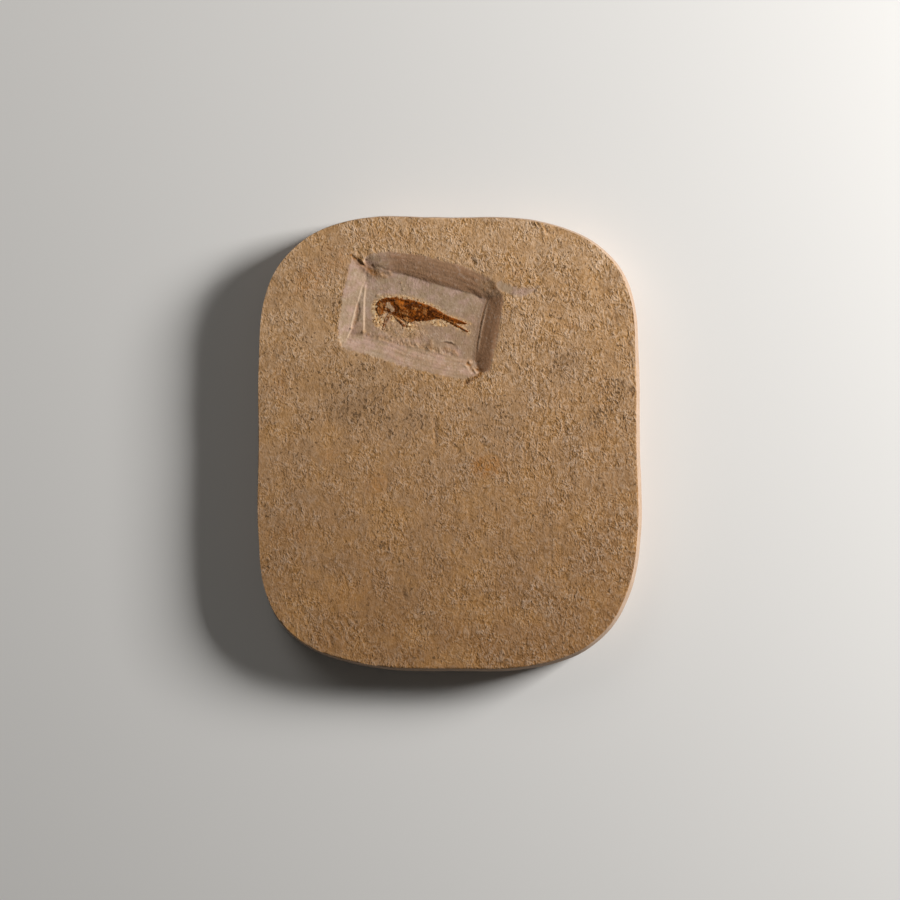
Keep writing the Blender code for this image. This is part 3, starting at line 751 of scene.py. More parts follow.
# %% [markdown]
# ## Shaping the insect
#
# The pressed body swells gently from its edge. Mounds and lines give it the head, the thorax, the
# swellings of the abdomen and the legs, each in its own shade of rust. Places and sizes are listed
# first. The wings' veins, the abdomen's rings and the crumbly surface of the oxide come after them.
# %% Parts of the insect
# Mounds: centre, half length, half width, turn, height, dark, orange, gold.
INSECT_MOUNDS = [
    ((-13.75, 27.75), 0.6, 0.72, 0, 0.08, 0.0, 0.0, 0.75),
    ((-14.2, 26.5), 0.6, 0.9, 10, 0.06, 0.0, 0.5, 0.7),
    ((-10.2, 28.15), 1.35, 0.6, -10, 0.12, 0.0, 0.9, 0.0),
    ((-9.75, 27.55), 0.85, 0.75, -15, 0.14, 0.0, 1.0, 0.15),
    ((-10.6, 28.3), 0.5, 0.45, 0, 0.05, 0.0, 0.6, 0.2),
    ((-9.6, 26.6), 1.5, 1.0, -10, 0.08, 0.5, 0.1, 0.0),
    ((-7.9, 27.6), 1.7, 0.75, -12, 0.08, 0.75, 0.15, 0.0),
    ((-7.6, 26.3), 1.4, 0.9, -12, 0.1, 0.25, 0.35, 0.0),
    ((-6.5, 25.7), 0.6, 0.5, 0, 0.06, 1.0, 0.0, 0.0),
    ((-5.2, 25.1), 1.5, 0.7, -5, 0.06, 0.7, 0.3, 0.0),
    ((-6.1, 27.1), 1.3, 0.5, -20, 0.06, 0.6, 0.2, 0.0),
    ((-5.0, 26.5), 0.45, 0.9, 5, 0.07, 0.0, 0.35, 0.65),
    ((-6.9, 26.9), 0.45, 0.3, -20, 0.05, 0.0, 0.4, 0.6),
    ((-3.7, 26.4), 1.0, 1.5, -8, 0.1, 1.0, 0.0, 0.0),
    ((-7.0, 28.1), 2.6, 0.42, -17, 0.05, 0.85, 0.1, 0.0),
    ((-4.2, 27.1), 1.6, 0.4, -24, 0.04, 0.9, 0.0, 0.0),
    ((-2.7, 25.9), 0.9, 0.75, -20, 0.09, 0.75, 0.35, 0.0),
    ((-3.0, 25.4), 0.9, 0.4, -10, 0.05, 0.8, 0.0, 0.0),
    ((-8.9, 25.9), 1.1, 0.35, -30, 0.04, 0.3, 0.2, 0.55),
    ((-11.6, 28.75), 1.0, 0.3, 0, 0.06, 0.9, 0.1, 0.0),
    ((-12.1, 26.3), 0.5, 0.6, 0, 0.04, 0.75, 0.0, 0.0),
    ((-13.2, 26.0), 0.5, 0.35, 30, 0.07, 0.0, 0.0, 0.9),
    ((-12.9, 26.9), 0.35, 0.3, 0, 0.07, 0.0, 0.0, 0.9),
    ((-11.7, 25.4), 0.45, 0.4, 0, 0.03, 0.7, 0.2, 0.0),
    ((-9.3, 25.6), 0.55, 0.35, -10, 0.04, 0.95, 0.0, 0.0),
    ((-8.5, 24.8), 1.0, 0.55, -20, 0.06, 0.0, 0.15, 0.85),
]
# Lines: knots, half width, height, dark, orange, gold.
INSECT_LINES = [
    ([(-13.0, 28.7), (-14.0, 28.6), (-14.5, 28.0), (-14.6, 27.2), (-14.4, 26.5)], 0.17, 0.1, 0.5, 0.4, 0.0),
    ([(-13.5, 28.1), (-13.1, 28.7), (-12.5, 29.0), (-11.9, 28.9), (-11.2, 28.75)], 0.2, 0.1, 1.0, 0.0, 0.0),
    ([(-13.4, 28.4), (-13.3, 27.8), (-13.0, 27.2), (-12.7, 26.8)], 0.16, 0.07, 0.9, 0.0, 0.0),
    ([(-12.9, 26.9), (-12.2, 26.6), (-11.6, 26.2), (-11.0, 25.9)], 0.17, 0.06, 0.9, 0.0, 0.0),
    ([(-11.2, 28.6), (-10.9, 27.9), (-10.9, 27.2), (-10.6, 26.6), (-10.2, 26.0)], 0.19, 0.05, 0.95, 0.0, 0.0),
    ([(-12.3, 26.6), (-12.9, 26.1), (-13.5, 25.6)], 0.13, 0.04, 0.8, 0.0, 0.0),
    ([(-11.8, 25.8), (-12.4, 24.9), (-13.1, 23.3)], 0.2, 0.03, 0.45, 0.2, 0.0),
    ([(-12.1, 26.1), (-12.7, 25.4), (-13.1, 24.7)], 0.11, 0.07, 0.0, 0.0, 1.0),
    ([(-10.85, 25.5), (-10.15, 24.75), (-9.1, 23.75)], 0.3, 0.07, 0.75, 0.1, 0.0),
    ([(-10.0, 25.4), (-9.3, 24.6), (-8.8, 24.2)], 0.1, 0.06, 0.0, 0.0, 1.0),
    ([(-9.3, 23.4), (-9.5, 22.2)], 0.14, 0.06, 0.0, 0.0, 1.0),
    ([(-7.4, 24.6), (-7.6, 23.5), (-8.0, 22.6), (-7.2, 22.2)], 0.15, 0.02, 0.3, 0.1, 0.3),
    ([(-9.0, 28.6), (-8.2, 28.5), (-7.2, 28.2)], 0.17, 0.05, 0.9, 0.0, 0.0),
    ([(-7.2, 27.7), (-6.2, 27.5), (-5.2, 27.1), (-4.4, 26.9)], 0.14, 0.05, 0.8, 0.1, 0.0),
    ([(-7.6, 27.2), (-6.6, 27.1), (-6.0, 26.9)], 0.1, 0.05, 0.0, 0.3, 0.8),
    ([(-8.6, 26.9), (-8.4, 26.2), (-8.7, 25.6)], 0.1, 0.04, 0.0, 0.2, 0.8),
    ([(-10.2, 26.8), (-9.9, 26.0)], 0.12, 0.06, 0.0, 0.0, 0.9),
    ([(-10.0, 26.1), (-9.2, 25.9), (-8.3, 25.6), (-7.2, 24.9), (-5.8, 24.8), (-4.2, 24.9)],
     0.18, 0.05, 0.85, 0.0, 0.0),
    ([(-4.3, 26.9), (-3.9, 26.5), (-3.2, 26.6), (-2.4, 26.3)], 0.16, 0.05, 1.0, 0.0, 0.0),
    ([(-3.2, 25.0), (-1.8, 24.6), (-0.8, 24.4)], 0.12, 0.03, 0.8, 0.0, 0.0),
    ([(-1.4, 25.7), (-0.2, 25.1), (0.9, 24.6)], 0.2, 0.05, 0.45, 0.4, 0.0),
    ([(-0.9, 24.8), (0.3, 24.3), (1.5, 23.9)], 0.14, 0.05, 0.0, 0.3, 0.75),
    ([(0.9, 24.7), (2.2, 24.25), (3.7, 23.95)], 0.14, 0.06, 0.8, 0.2, 0.0),
    ([(0.9, 23.9), (2.3, 23.15), (3.4, 22.6)], 0.16, 0.06, 0.4, 0.6, 0.0),
]
# The long veins of the folded wings, from the wing's root to its tip: knots and half width.
VEINS = [
    ([(-10.6, 28.9), (-8.6, 28.8), (-6.6, 28.35), (-4.6, 27.5), (-2.4, 26.45), (-0.6, 25.5), (1.4, 24.75),
      (3.7, 24.1)], 0.13),
    ([(-9.8, 28.5), (-7.8, 28.3), (-5.4, 27.5), (-3.0, 26.5), (-1.0, 25.55), (1.2, 24.75), (3.2, 24.15)],
     0.09),
    ([(-8.8, 28.1), (-6.4, 27.6), (-4.0, 26.6), (-1.8, 25.6), (0.4, 24.8), (2.4, 24.1)], 0.08),
    ([(-3.2, 25.6), (-1.2, 25.1), (0.6, 24.5), (2.2, 23.75), (3.4, 22.8)], 0.1),
    ([(-2.6, 25.2), (-0.6, 24.7), (1.0, 24.15), (2.4, 23.4), (3.5, 22.6)], 0.09),
]
print(len(INSECT_MOUNDS), "mounds,", len(INSECT_LINES), "lines and", len(VEINS), "long veins")

# %% Raise the body and work in its mounds and lines
# The edge starts a little below the floor, and the body swells up from it. The rows of `colours` are
# how dark, how orange and how golden each point is.
SUNK_EDGE = 0.16
points = points_of(insect)
x, y = points[:, 0], points[:, 1]
top = points[:, 2] > FLOOR_HEIGHT - 0.5
edge = ragged_outline(x, y)
body = inside_body(x, y)
height = -SUNK_EDGE + 0.21 * ease(-0.14, 0.1, edge) + 0.12 * ease(0.0, 1.5, body)
colours = np.zeros((3, len(x)))
crumbs = 0.8 + 0.7 * crumble(x, y, 0.6, 211)
for centre, long, wide, turn, rise, *strengths in INSECT_MOUNDS:
    hump = mound(x, y, centre, long, wide, turn)
    height += rise * hump
    colours = np.maximum(colours, np.outer(strengths, np.clip(1.4 * hump * crumbs, 0, 1)))
wander = 0.08 * ripple(x, y, 0.7, 221)
crumbs = 0.85 + 0.6 * crumble(x, y, 0.5, 222)
for knots, half, rise, *strengths in INSECT_LINES:
    mark = stroke(x + wander, y + wander, knots, half, 0.15)
    height += rise * mark
    colours = np.maximum(colours, np.outer(strengths, np.clip(1.2 * mark * crumbs, 0, 1)))
print("Body up to", round(float(height.max()), 2), "mm over the floor")

# %% [markdown]
# ## Veins and rings
#
# The wings' long veins run from root to tip, and short cross veins join the front edge to the vein
# behind it. The abdomen's rings run across its axis, which slopes down to the right.
# %% Draw the veins and the rings
VEIN_RISE, VEIN_STRENGTHS = 0.06, (0.6, 0.4, 0.0)
for number, (knots, half) in enumerate(VEINS):
    vein = stroke(x, y, knots, half, 0.1)
    height += VEIN_RISE * vein
    patchy = np.clip(vein * (0.9 + 0.8 * ripple(x * 0.7, y, 0.8, 231 + number)), 0, 1)
    colours = np.maximum(colours, np.outer(VEIN_STRENGTHS, patchy))
FRONT_X, FRONT_Y = [-10.6, -6.6, -2.4, 1.4, 3.7], [28.9, 28.35, 26.45, 24.75, 24.1]
CROSS_VEINS, FIRST_X, VEINED_LENGTH = 26, -9.6, 12.6
for number in range(CROSS_VEINS):
    root_x = FIRST_X + number * VEINED_LENGTH / CROSS_VEINS
    root_y = float(np.interp(root_x, FRONT_X, FRONT_Y))
    height += 0.02 * stroke(x, y, [(root_x, root_y), (root_x - 0.25, root_y - 0.55)], 0.05, 0.05)
RING_WIDTH = 0.82
along_belly = (x + 8.0) * 0.97 - (y - 26.3) * 0.24
rings = 0.5 + 0.5 * np.cos(along_belly / RING_WIDTH * math.tau)
under_wing = ease(0.6, -0.2, y - (26.9 - 0.28 * (x + 7)))
belly = ease(-8.6, -7.6, x) * ease(-1.2, -2.2, x) * ease(0.1, 0.5, body) * under_wing
height += 0.045 * belly * rings
dark, orange, gold = colours
dark = np.maximum(dark, 0.4 * belly * (1 - rings))
print(len(VEINS), "long veins and", CROSS_VEINS, "cross veins")

# %% [markdown]
# ## Crumbs and thin oxide
#
# Single grains are darker, or golden, than what is round them. A golden fringe of thin oxide runs
# along the body's edge, widest along the back. Limbs, and the outermost grains of the body, are a
# film so thin that the stone shows through, and bare stone shows between head and thorax.
# %% Crumble the surface
back = ease(-0.2, 0.6, y - 27.3 + 0.26 * (x + 13))
fringe_width = 0.06 + 0.2 * back * ease(1.5, -1.5, x)
fringe = ease(fringe_width, -0.1, body + 0.25 * crumble(x, y, 0.5, 241)) * ease(-0.7, -0.2, body)
fringe = np.clip(fringe, 0, 1)
gold = np.maximum(gold, 0.9 * fringe)
dark *= 1 - 0.85 * fringe
orange *= 1 - 0.5 * fringe
crumbs = crumble(x, y, 0.62, 261)
darker, paler = ease(0.15, 0.5, crumbs) * (1 - fringe), ease(-0.2, -0.6, crumbs)
dark = np.clip(dark + 0.75 * darker - 0.35 * paler, 0, 1)
flecks = ripple(x, y, 0.42, 262)
gold = np.maximum(gold, 0.4 * ease(0.45, 0.65, flecks) * (1 - 0.9 * dark))
orange = np.clip(orange + 0.45 * ease(0.1, 0.5, ripple(x, y, 0.8, 263)), 0, 1)
grains = 0.05 * crumble(x, y, 0.5, 251) + 0.03 * ease(0.3, 0.6, flecks)
height += grains * ease(0, 0.3, edge) + 0.015 * ripple(x, y, 0.2, 252)
print("Fringe on", int((fringe > 0.5).sum()), "points")

# %% Thin the film
on_limb = ease(0.25, -0.1, body)
faintness = limb_distance(x, y)[1]
height -= 0.06 * on_limb * np.clip(faintness, 0, 1)
thin = on_limb * np.clip(faintness + 0.4 * crumble(x, y, 0.5, 271), 0, 1)
thin = np.maximum(thin, 0.75 * ease(0.22, -0.14, edge) * (1 + 0.6 * crumble(x, y, 0.5, 272)))
bare_x, bare_y = x + 0.4 * crumble(x, y, 0.8, 96), y + 0.4 * crumble(x, y, 0.8, 97)
bare = mound(bare_x, bare_y, (-12.0, 27.3), 1.3, 0.8, -50)
bare = np.clip(2.0 * bare * (0.9 + 0.7 * crumble(x, y, 0.45, 98)), 0, 1)
height += 0.05 * bare
dark *= 1 - 0.6 * bare
single = 0.25 * ease(0.3, 0.6, ripple(x, y, 0.45, 273)) * ease(0.0, 0.4, ripple(x, y, 1.6, 274) + 0.15)
thin = np.maximum(thin, np.maximum(0.8 * bare, single))
print("Film on", int((thin > 0.5).sum()), "of", len(x), "points")

# %% Join the insect to the frame
BED_DEPTH = 0.3
points[:, 2] = np.where(top, FLOOR_HEIGHT + height, FLOOR_HEIGHT - BED_DEPTH)
place_points(insect, points)
for name, values in {"dark": dark, "orange": orange, "gold": gold, "thin": thin}.items():
    paint(insect, name, values)
select_only(insect)
bpy.ops.object.shade_smooth_by_angle(angle=math.radians(60))
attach(insect, "root")
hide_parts("lacewing")
print("Insect stands", round(float(height.max()), 2), "mm over the floor")

# %% [markdown]
# ## Building materials
#
# Both materials are made of nodes in code. `add` puts in a node and sets or links its inputs in one
# go, and the short helpers under it cover the nodes that are used most.
# %% Node helpers
def add(tree, kind, inputs=(), **settings):
    """A new node. Each input is a number, a colour or another node's output."""
    made = tree.nodes.new(kind)
    for name, value in settings.items():
        setattr(made, name, value)
    for name, value in dict(inputs).items():
        if isinstance(value, bpy.types.NodeSocket):
            tree.links.new(value, made.inputs[name])
        else:
            made.inputs[name].default_value = value
    return made


def blend(tree, factor, first, second, how="MIX"):
    """Mixes two colours."""
    made = add(tree, "ShaderNodeMix", {0: factor, 6: first, 7: second}, data_type="RGBA", blend_type=how)
    return made.outputs[2]


def maths(tree, how, first, second):
    """Adds, subtracts or compares two numbers."""
    return add(tree, "ShaderNodeMath", {0: first, 1: second}, operation=how).outputs[0]


def times(tree, first, second):
    """One mask weakened by another, or by a number."""
    return maths(tree, "MULTIPLY", first, second)


def vector_maths(tree, how, first, second):
    """The same for two places."""
    return add(tree, "ShaderNodeVectorMath", {0: first, 1: second}, operation=how).outputs[0]


def stretched(tree, place, by):
    """The place multiplied by one number, so that what is drawn on it gets finer."""
    return add(tree, "ShaderNodeVectorMath", {0: place, "Scale": by}, operation="SCALE").outputs[0]


def spread(tree, value, low, high, to_low=0.0, to_high=1.0):
    """Stretches values from low to high over a new range, softly and without going past its ends."""
    ends = {"Value": value, "From Min": low, "From Max": high, "To Min": to_low, "To Max": to_high}
    return add(tree, "ShaderNodeMapRange", ends, interpolation_type="SMOOTHSTEP").outputs["Result"]


def moved_aside(tree, place, shift):
    """The place moved aside, so that the same noise looks different there."""
    return vector_maths(tree, "ADD", place, (shift, shift, 0.0))


def mask(tree, name):
    """A number painted on the points."""
    return add(tree, "ShaderNodeAttribute", attribute_name=name).outputs["Fac"]


def noise(tree, place, size_mm, detail=2.0, rough=0.5):
    """Noise whose features are about size_mm wide, from 0 to 1."""
    sizes = {"Vector": place, "Scale": 1000 / size_mm, "Detail": detail, "Roughness": rough}
    return add(tree, "ShaderNodeTexNoise", sizes).outputs["Fac"]


def bent_place(tree, place, size_mm, push):
    """The place itself, pushed about by smooth noise, so that what is drawn on it bends."""
    wobble = add(tree, "ShaderNodeTexNoise", {"Vector": place, "Scale": 1000 / size_mm, "Detail": 1.0})
    centred = vector_maths(tree, "SUBTRACT", wobble.outputs["Color"], (0.5, 0.5, 0.5))
    return vector_maths(tree, "ADD", place, stretched(tree, centred, push))


# %% [markdown]
# ## One grain for both pieces
#
# Stone and oxide are both grainy at the same scale, so the grain is a node group that both
# materials place, each with its own size. It puts out a height for the bump, a patchy shade, and
# a mask of single dark specks.
# %% The shared grain
grain = bpy.data.node_groups.new("mineral_grain", "ShaderNodeTree")
grain.interface.new_socket(name="Place", in_out="INPUT", socket_type="NodeSocketVector")
for name, default in (("Fineness", 1.0), ("Specks", 0.5)):
    socket = grain.interface.new_socket(name=name, in_out="INPUT", socket_type="NodeSocketFloat")
    socket.default_value = default
for name in ("Height", "Shade", "Speck"):
    grain.interface.new_socket(name=name, in_out="OUTPUT", socket_type="NodeSocketFloat")
entry = add(grain, "NodeGroupInput")
finer = stretched(grain, entry.outputs["Place"], entry.outputs["Fineness"])
# The grains are a little longer along the plate.
drawn_out = vector_maths(grain, "MULTIPLY", finer, (1.0, 0.72, 1.0))
bent = bent_place(grain, drawn_out, 2.2, 0.0007)
hollows = times(grain, noise(grain, bent, 1.25, 1.0), 0.26)
pebbles = times(grain, noise(grain, bent, 0.56, 1.0, 0.6), 0.42)
grit_grains = times(grain, noise(grain, bent, 0.31, 1.0, 0.6), 0.4)
total = maths(grain, "ADD", maths(grain, "ADD", hollows, pebbles), grit_grains)
dots = noise(grain, bent, 0.48, 1.0, 0.4)
shade = noise(grain, bent, 2.6, 4.0, 0.65)
clusters = spread(grain, noise(grain, finer, 3.2, 2.0), 0.45, 0.7, 0.0, 0.08)
likely = maths(grain, "ADD", times(grain, entry.outputs["Specks"], 0.1), clusters)
sparse = spread(grain, maths(grain, "ADD", dots, likely), 0.695, 0.775)
add(grain, "NodeGroupOutput", {"Height": total, "Shade": shade, "Speck": sparse})
print("Grain group:", [socket.name for socket in grain.interface.items_tree])

# %% [markdown]
# ## The limestone
#
# The untouched face is tan and a little yellow, with grey and orange patches. Shade in its creases is
# painted in as a browner colour, and a sheen on its bumps as a paler one. Towards the top it is paler
# and greyer, which is the key light's falloff painted in.
# %% The uncut stone and its patches
limestone = bpy.data.materials.new("limestone_with_scraped_window")
limestone.use_nodes = True
tree = limestone.node_tree
surface = tree.nodes["Principled BSDF"]
place = add(tree, "ShaderNodeTexCoord").outputs["Object"]
grit = add(tree, "ShaderNodeGroup", {}, node_tree=grain)
tree.links.new(place, grit.inputs["Place"])
grit.inputs["Fineness"].default_value = 1.0
upward = add(tree, "ShaderNodeSeparateXYZ", {0: place}).outputs["Y"]
# The tan is darker and more orange towards the bottom and paler towards the top: painted falloff of the key
# light.
TAN_DIMMED_BELOW, TAN_LIT_ABOVE = (0.287, 0.146, 0.056, 1), (0.535, 0.335, 0.182, 1)
colour = blend(tree, spread(tree, upward, -0.05, 0.058), TAN_DIMMED_BELOW, TAN_LIT_ABOVE)
ochre = noise(tree, place, 9.0, 4.0, 0.65)
colour = blend(tree, spread(tree, ochre, 0.4, 0.66, 0.0, 0.5), colour, (0.45, 0.235, 0.078, 1))
grey = noise(tree, moved_aside(tree, place, 0.3), 6.0, 4.0, 0.65)
colour = blend(tree, spread(tree, grey, 0.46, 0.7, 0.0, 0.5), colour, (0.33, 0.2, 0.11, 1))
print("Patches made with", len(tree.nodes), "nodes")

# %% [markdown]
# ## The grain in the colour
#
# The grain comes and goes, and is coarser towards the upper right. Fine dark specks lie where the
# sooty patches were painted.
# %% The grain and the specks
sideways = add(tree, "ShaderNodeSeparateXYZ", {0: place}).outputs["X"]
slant = maths(tree, "ADD", sideways, times(tree, upward, 0.6))
coarse = spread(tree, slant, -0.05, 0.05, 0.75, 1.08)
coming = spread(tree, noise(tree, moved_aside(tree, place, 0.7), 5.0, 3.0, 0.6), 0.32, 0.66, 0.5, 1.25)
coarse = times(tree, coarse, coming)
# Painted shade: the grain's creases are darkened to a browner colour.
painted_crease_shade = times(tree, spread(tree, grit.outputs["Height"], 0.38, 0.56, 0.95, 0.0), coarse)
colour = blend(tree, painted_crease_shade, colour, (0.64, 0.56, 0.38, 1), "MULTIPLY")
# Painted sheen: the grain's bumps are lightened, more so towards the top with the painted falloff of the key
# light.
painted_bump_sheen = times(tree, spread(tree, grit.outputs["Height"], 0.5, 0.7), coarse)
painted_bump_sheen = times(tree, painted_bump_sheen, spread(tree, upward, -0.05, 0.05, 0.88, 1.08))
colour = blend(tree, painted_bump_sheen, colour, (0.105, 0.115, 0.115, 1), "ADD")
shade_mask = spread(tree, grit.outputs["Shade"], 0.38, 0.68, 0.0, 0.3)
colour = blend(tree, shade_mask, colour, (0.30, 0.165, 0.075, 1))
sooty = times(tree, mask(tree, "soot"), spread(tree, grit.outputs["Shade"], 0.35, 0.6, 0.05, 0.28))
colour = blend(tree, sooty, colour, (0.2, 0.12, 0.065, 1))
tree.links.new(times(tree, mask(tree, "soot"), 0.9), grit.inputs["Specks"])
colour = blend(tree, times(tree, grit.outputs["Speck"], 0.8), colour, (0.12, 0.065, 0.028, 1))
print("With its grain it has", len(tree.nodes), "nodes")

# %% [markdown]
# ## Fresh stone
#
# Where the blade went, fresh stone shows, greyer and pinker and much smoother. It is browner on the
# strips that face away from the key light, which is painted shade, and along the blade's tracks. Its
# hollows are darker, painted shade too, and its high grains paler, a painted sheen.
# %% The fresh stone in the window
scraped_mask = times(tree, mask(tree, "scraped"), spread(tree, mask(tree, "grainy"), 0.2, 1.0, 1.0, 0.5))
fresh_patches = noise(tree, place, 2.6, 3.0, 0.6)
PINK_PATCH, TAN_PATCH = (0.445, 0.293, 0.224, 1), (0.35, 0.24, 0.148, 1)
fresh = blend(tree, spread(tree, fresh_patches, 0.38, 0.62), PINK_PATCH, TAN_PATCH)
olive = noise(tree, moved_aside(tree, place, 0.5), 3.4, 3.0, 0.6)
fresh = blend(tree, spread(tree, olive, 0.45, 0.62, 0.0, 0.7), fresh, (0.37, 0.262, 0.17, 1))
# Painted shade: the strips that face away from the key light turn browner.
fresh = blend(tree, mask(tree, "brown_and_painted_shade"), fresh, (0.36, 0.19, 0.098, 1))
# Painted shade: the fresh stone is darker in the grain's hollows.
painted_hollow_shade = spread(tree, grit.outputs["Height"], 0.38, 0.55, 0.45, 0.0)
fresh = blend(tree, painted_hollow_shade, fresh, (0.25, 0.15, 0.085, 1))
# Painted sheen: the fresh stone is paler on its high grains.
painted_grain_sheen = spread(tree, grit.outputs["Height"], 0.55, 0.72, 0.0, 0.4)
fresh = blend(tree, painted_grain_sheen, fresh, (0.56, 0.43, 0.33, 1))
colour = blend(tree, scraped_mask, colour, fresh)
# Pale burrs: fresh stone, with a painted highlight where the key light catches them.
colour = blend(tree, mask(tree, "pale_and_painted_highlight"), colour, (0.6, 0.44, 0.31, 1))
print("With fresh stone it has", len(tree.nodes), "nodes")

# %% [markdown]
# ## Iron in the stone
#
# Iron gives the rust stains, the golden halo with its cream and brown grains, and the dark cracks. The
# dark along the foot of the top and right strips is partly painted shadow.
# %% Rust, halo and cracks
iron_noise = noise(tree, place, 0.6, 3.0, 0.65)
rusty = times(tree, mask(tree, "rust"), spread(tree, iron_noise, 0.34, 0.62, 0.1, 1.0))
colour = blend(tree, rusty, colour, (0.36, 0.15, 0.034, 1))
golden = times(tree, mask(tree, "halo"), spread(tree, iron_noise, 0.3, 0.62, 0.2, 0.95))
colour = blend(tree, golden, colour, (0.68, 0.39, 0.16, 1))
cream_grains = spread(tree, noise(tree, moved_aside(tree, place, 0.9), 0.5, 1.0), 0.5, 0.62, 0.0, 0.8)
colour = blend(tree, times(tree, mask(tree, "halo"), cream_grains), colour, (0.76, 0.57, 0.35, 1))
brown_grains = spread(tree, noise(tree, moved_aside(tree, place, 0.2), 0.45, 1.0), 0.53, 0.63)
colour = blend(tree, times(tree, mask(tree, "halo"), brown_grains), colour, (0.15, 0.06, 0.015, 1))
# Dark cracks and pits, with painted shadow at the foot of the top and right strips.
colour = blend(tree, times(tree, mask(tree, "dark"), 0.9), colour, (0.07, 0.03, 0.012, 1))
print("With iron it has", len(tree.nodes), "nodes")

# %% [markdown]
# ## The ground edge and the bump
#
# The edge shows the stone's layers, with painted shade in the grain's hollows. The grain also bumps the
# surface, much less where the stone was scraped or ground. Its mean is taken off first, or the change
# from rough to smooth would show as a step.
# %% The edge, the gloss and the bump
layer_place = add(tree, "ShaderNodeMapping", {"Vector": place, "Scale": (0.3, 0.3, 1.6)}).outputs[0]
layers = noise(tree, layer_place, 1.2, 3.0, 0.6)
PALE_LAYER, DARK_LAYER = (0.44, 0.32, 0.24, 1), (0.395, 0.275, 0.19, 1)
edge_colour = blend(tree, spread(tree, layers, 0.3, 0.7), PALE_LAYER, DARK_LAYER)
# Painted shade: the ground edge is darker in the grain's hollows.
painted_edge_shade = spread(tree, grit.outputs["Height"], 0.4, 0.56, 0.45, 0.0)
edge_colour = blend(tree, painted_edge_shade, edge_colour, (0.27, 0.17, 0.1, 1))
colour = blend(tree, mask(tree, "ground"), colour, edge_colour)
tree.links.new(colour, surface.inputs["Base Color"])
tree.links.new(spread(tree, scraped_mask, 0.0, 1.0, 0.95, 0.8), surface.inputs["Roughness"])
surface.inputs["Specular IOR Level"].default_value = 0.2
calm = spread(tree, maths(tree, "MAXIMUM", scraped_mask, mask(tree, "ground")), 0.0, 1.0, 1.0, 0.3)
GRAIN_MEAN, GRAIN_BUMP = 0.54, 0.00036
centred = maths(tree, "SUBTRACT", grit.outputs["Height"], GRAIN_MEAN)
relief = times(tree, centred, times(tree, calm, coarse))
bump = add(tree, "ShaderNodeBump", {"Strength": 1.0, "Distance": GRAIN_BUMP, "Height": relief})
tree.links.new(bump.outputs[0], surface.inputs["Normal"])
plate.data.materials.clear()
plate.data.materials.append(limestone)
print("Limestone has", len(tree.nodes), "nodes")

# %% [markdown]
# ## The iron oxide
#
# The insect is rust in all its colours: nearly black in the abdomen, orange on the thorax and
# golden where the layer is thin. The grain group breaks these up into crumbs.
# %% The iron oxide's material
oxide = bpy.data.materials.new("iron_oxide_of_the_insect")
oxide.use_nodes = True
tree = oxide.node_tree
surface = tree.nodes["Principled BSDF"]
place = add(tree, "ShaderNodeTexCoord").outputs["Object"]
grit = add(tree, "ShaderNodeGroup", {}, node_tree=grain)
tree.links.new(place, grit.inputs["Place"])
grit.inputs["Fineness"].default_value = 1.5
grit.inputs["Specks"].default_value = 0.8
mottle = noise(tree, place, 0.55, 3.0, 0.65)
colour = blend(tree, spread(tree, mottle, 0.35, 0.65), (0.265, 0.07, 0.006, 1), (0.11, 0.024, 0.002, 1))
orange_mask = times(tree, mask(tree, "orange"), spread(tree, mottle, 0.35, 0.65, 1.0, 0.6))
colour = blend(tree, orange_mask, colour, (0.42, 0.115, 0.01, 1))
colour = blend(tree, times(tree, mask(tree, "dark"), 0.9), colour, (0.045, 0.011, 0.0015, 1))
gold_mask = times(tree, mask(tree, "gold"), spread(tree, grit.outputs["Shade"], 0.3, 0.6, 0.5, 1.0))
colour = blend(tree, gold_mask, colour, (0.5, 0.235, 0.08, 1))
colour = blend(tree, times(tree, grit.outputs["Speck"], 0.6), colour, (0.035, 0.009, 0.002, 1))
# Where the oxide is a film, the stone's own colour shows through.
film = spread(tree, maths(tree, "ADD", mask(tree, "thin"), times(tree, mottle, 0.8)), 0.5, 1.15)
colour = blend(tree, film, colour, (0.42, 0.265, 0.155, 1))
tree.links.new(colour, surface.inputs["Base Color"])
surface.inputs["Roughness"].default_value = 0.75
surface.inputs["Specular IOR Level"].default_value = 0.06
CRUMB_BUMP = 0.00013
crumb_height = grit.outputs["Height"]
bump = add(tree, "ShaderNodeBump", {"Strength": 1.0, "Distance": CRUMB_BUMP, "Height": crumb_height})
tree.links.new(bump.outputs[0], surface.inputs["Normal"])
insect.data.materials.clear()
insect.data.materials.append(oxide)
print("Iron oxide has", len(tree.nodes), "nodes")

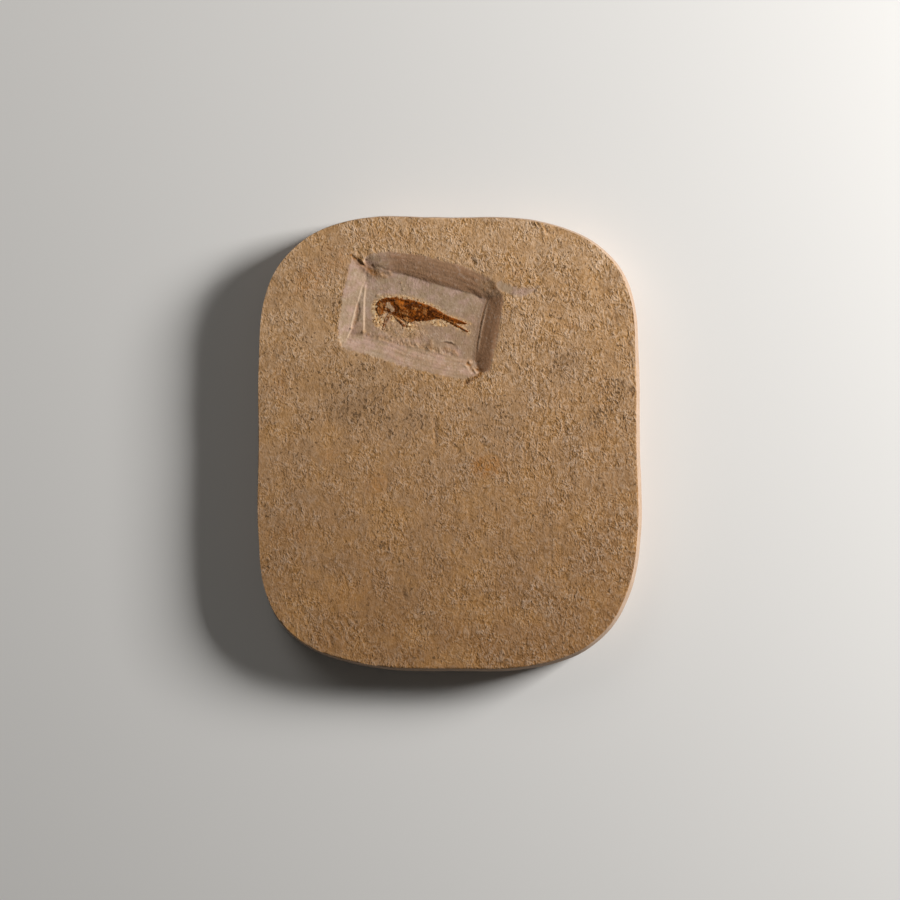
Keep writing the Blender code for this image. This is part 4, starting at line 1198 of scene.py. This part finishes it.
# %% [markdown]
# ## The studio
#
# The plate lies on a plain pale floor and the camera looks straight down at it, from a little under
# the middle. One soft box stands near, to the right and slightly above, and rakes the grain; a
# weak one on the other side and a pale surround keep the shadows open.
# %% The pale floor
deselect_all()
bpy.ops.mesh.primitive_plane_add(size=3.0, location=(0, 0, 0))
table_top = bpy.context.active_object
table_top.name = "pale_table"
paper = bpy.data.materials.new("pale_paper")
paper.use_nodes = True
sheet = paper.node_tree.nodes["Principled BSDF"]
sheet.inputs["Base Color"].default_value = (0.72, 0.71, 0.69, 1)
sheet.inputs["Roughness"].default_value = 0.9
table_top.data.materials.append(paper)
print("Floor of", round(table_top.dimensions.x, 1), "m")

# %% Two soft boxes and a pale surround
def soft_box(name, place_mm, side_mm, watts, tint):
    """A square light that faces the plate's middle."""
    bpy.ops.object.light_add(type="AREA", location=[c * MM for c in place_mm])
    box = bpy.context.active_object
    box.name = name
    box.data.size = side_mm * MM
    box.data.energy = watts
    box.data.color = tint
    box.rotation_euler = (-box.location).to_track_quat("-Z", "Y").to_euler()


soft_box("key_light", (500, 202, 263), 200, 6.0, (1.0, 0.99, 0.98))
soft_box("fill_light", (-250, 420, 420), 300, 0.5, (1.0, 0.97, 0.93))
world = bpy.data.worlds.new("studio")
world.use_nodes = True
surround = world.node_tree.nodes["Background"]
surround.inputs["Color"].default_value = (1.0, 0.96, 0.9, 1)
surround.inputs["Strength"].default_value = 0.05
bpy.context.scene.world = world
bpy.context.scene.view_settings.view_transform = "Standard"

# %% The camera
CAMERA_X, CAMERA_Y, CAMERA_OVER_FACE = 0.04, -1.26, 700.0
FRAME_WIDTH = 180.0
SENSOR_WIDTH = 36
camera_place = (CAMERA_X * MM, CAMERA_Y * MM, (FACE_HEIGHT + CAMERA_OVER_FACE) * MM)
bpy.ops.object.camera_add(location=camera_place, rotation=(0, 0, 0))
camera = bpy.context.active_object
camera.data.sensor_width = SENSOR_WIDTH
camera.data.lens = SENSOR_WIDTH * CAMERA_OVER_FACE / FRAME_WIDTH
camera.data.clip_start, camera.data.clip_end = 0.01, 10
bpy.context.scene.camera = camera
print("Camera of", camera.data.lens, "mm lens")
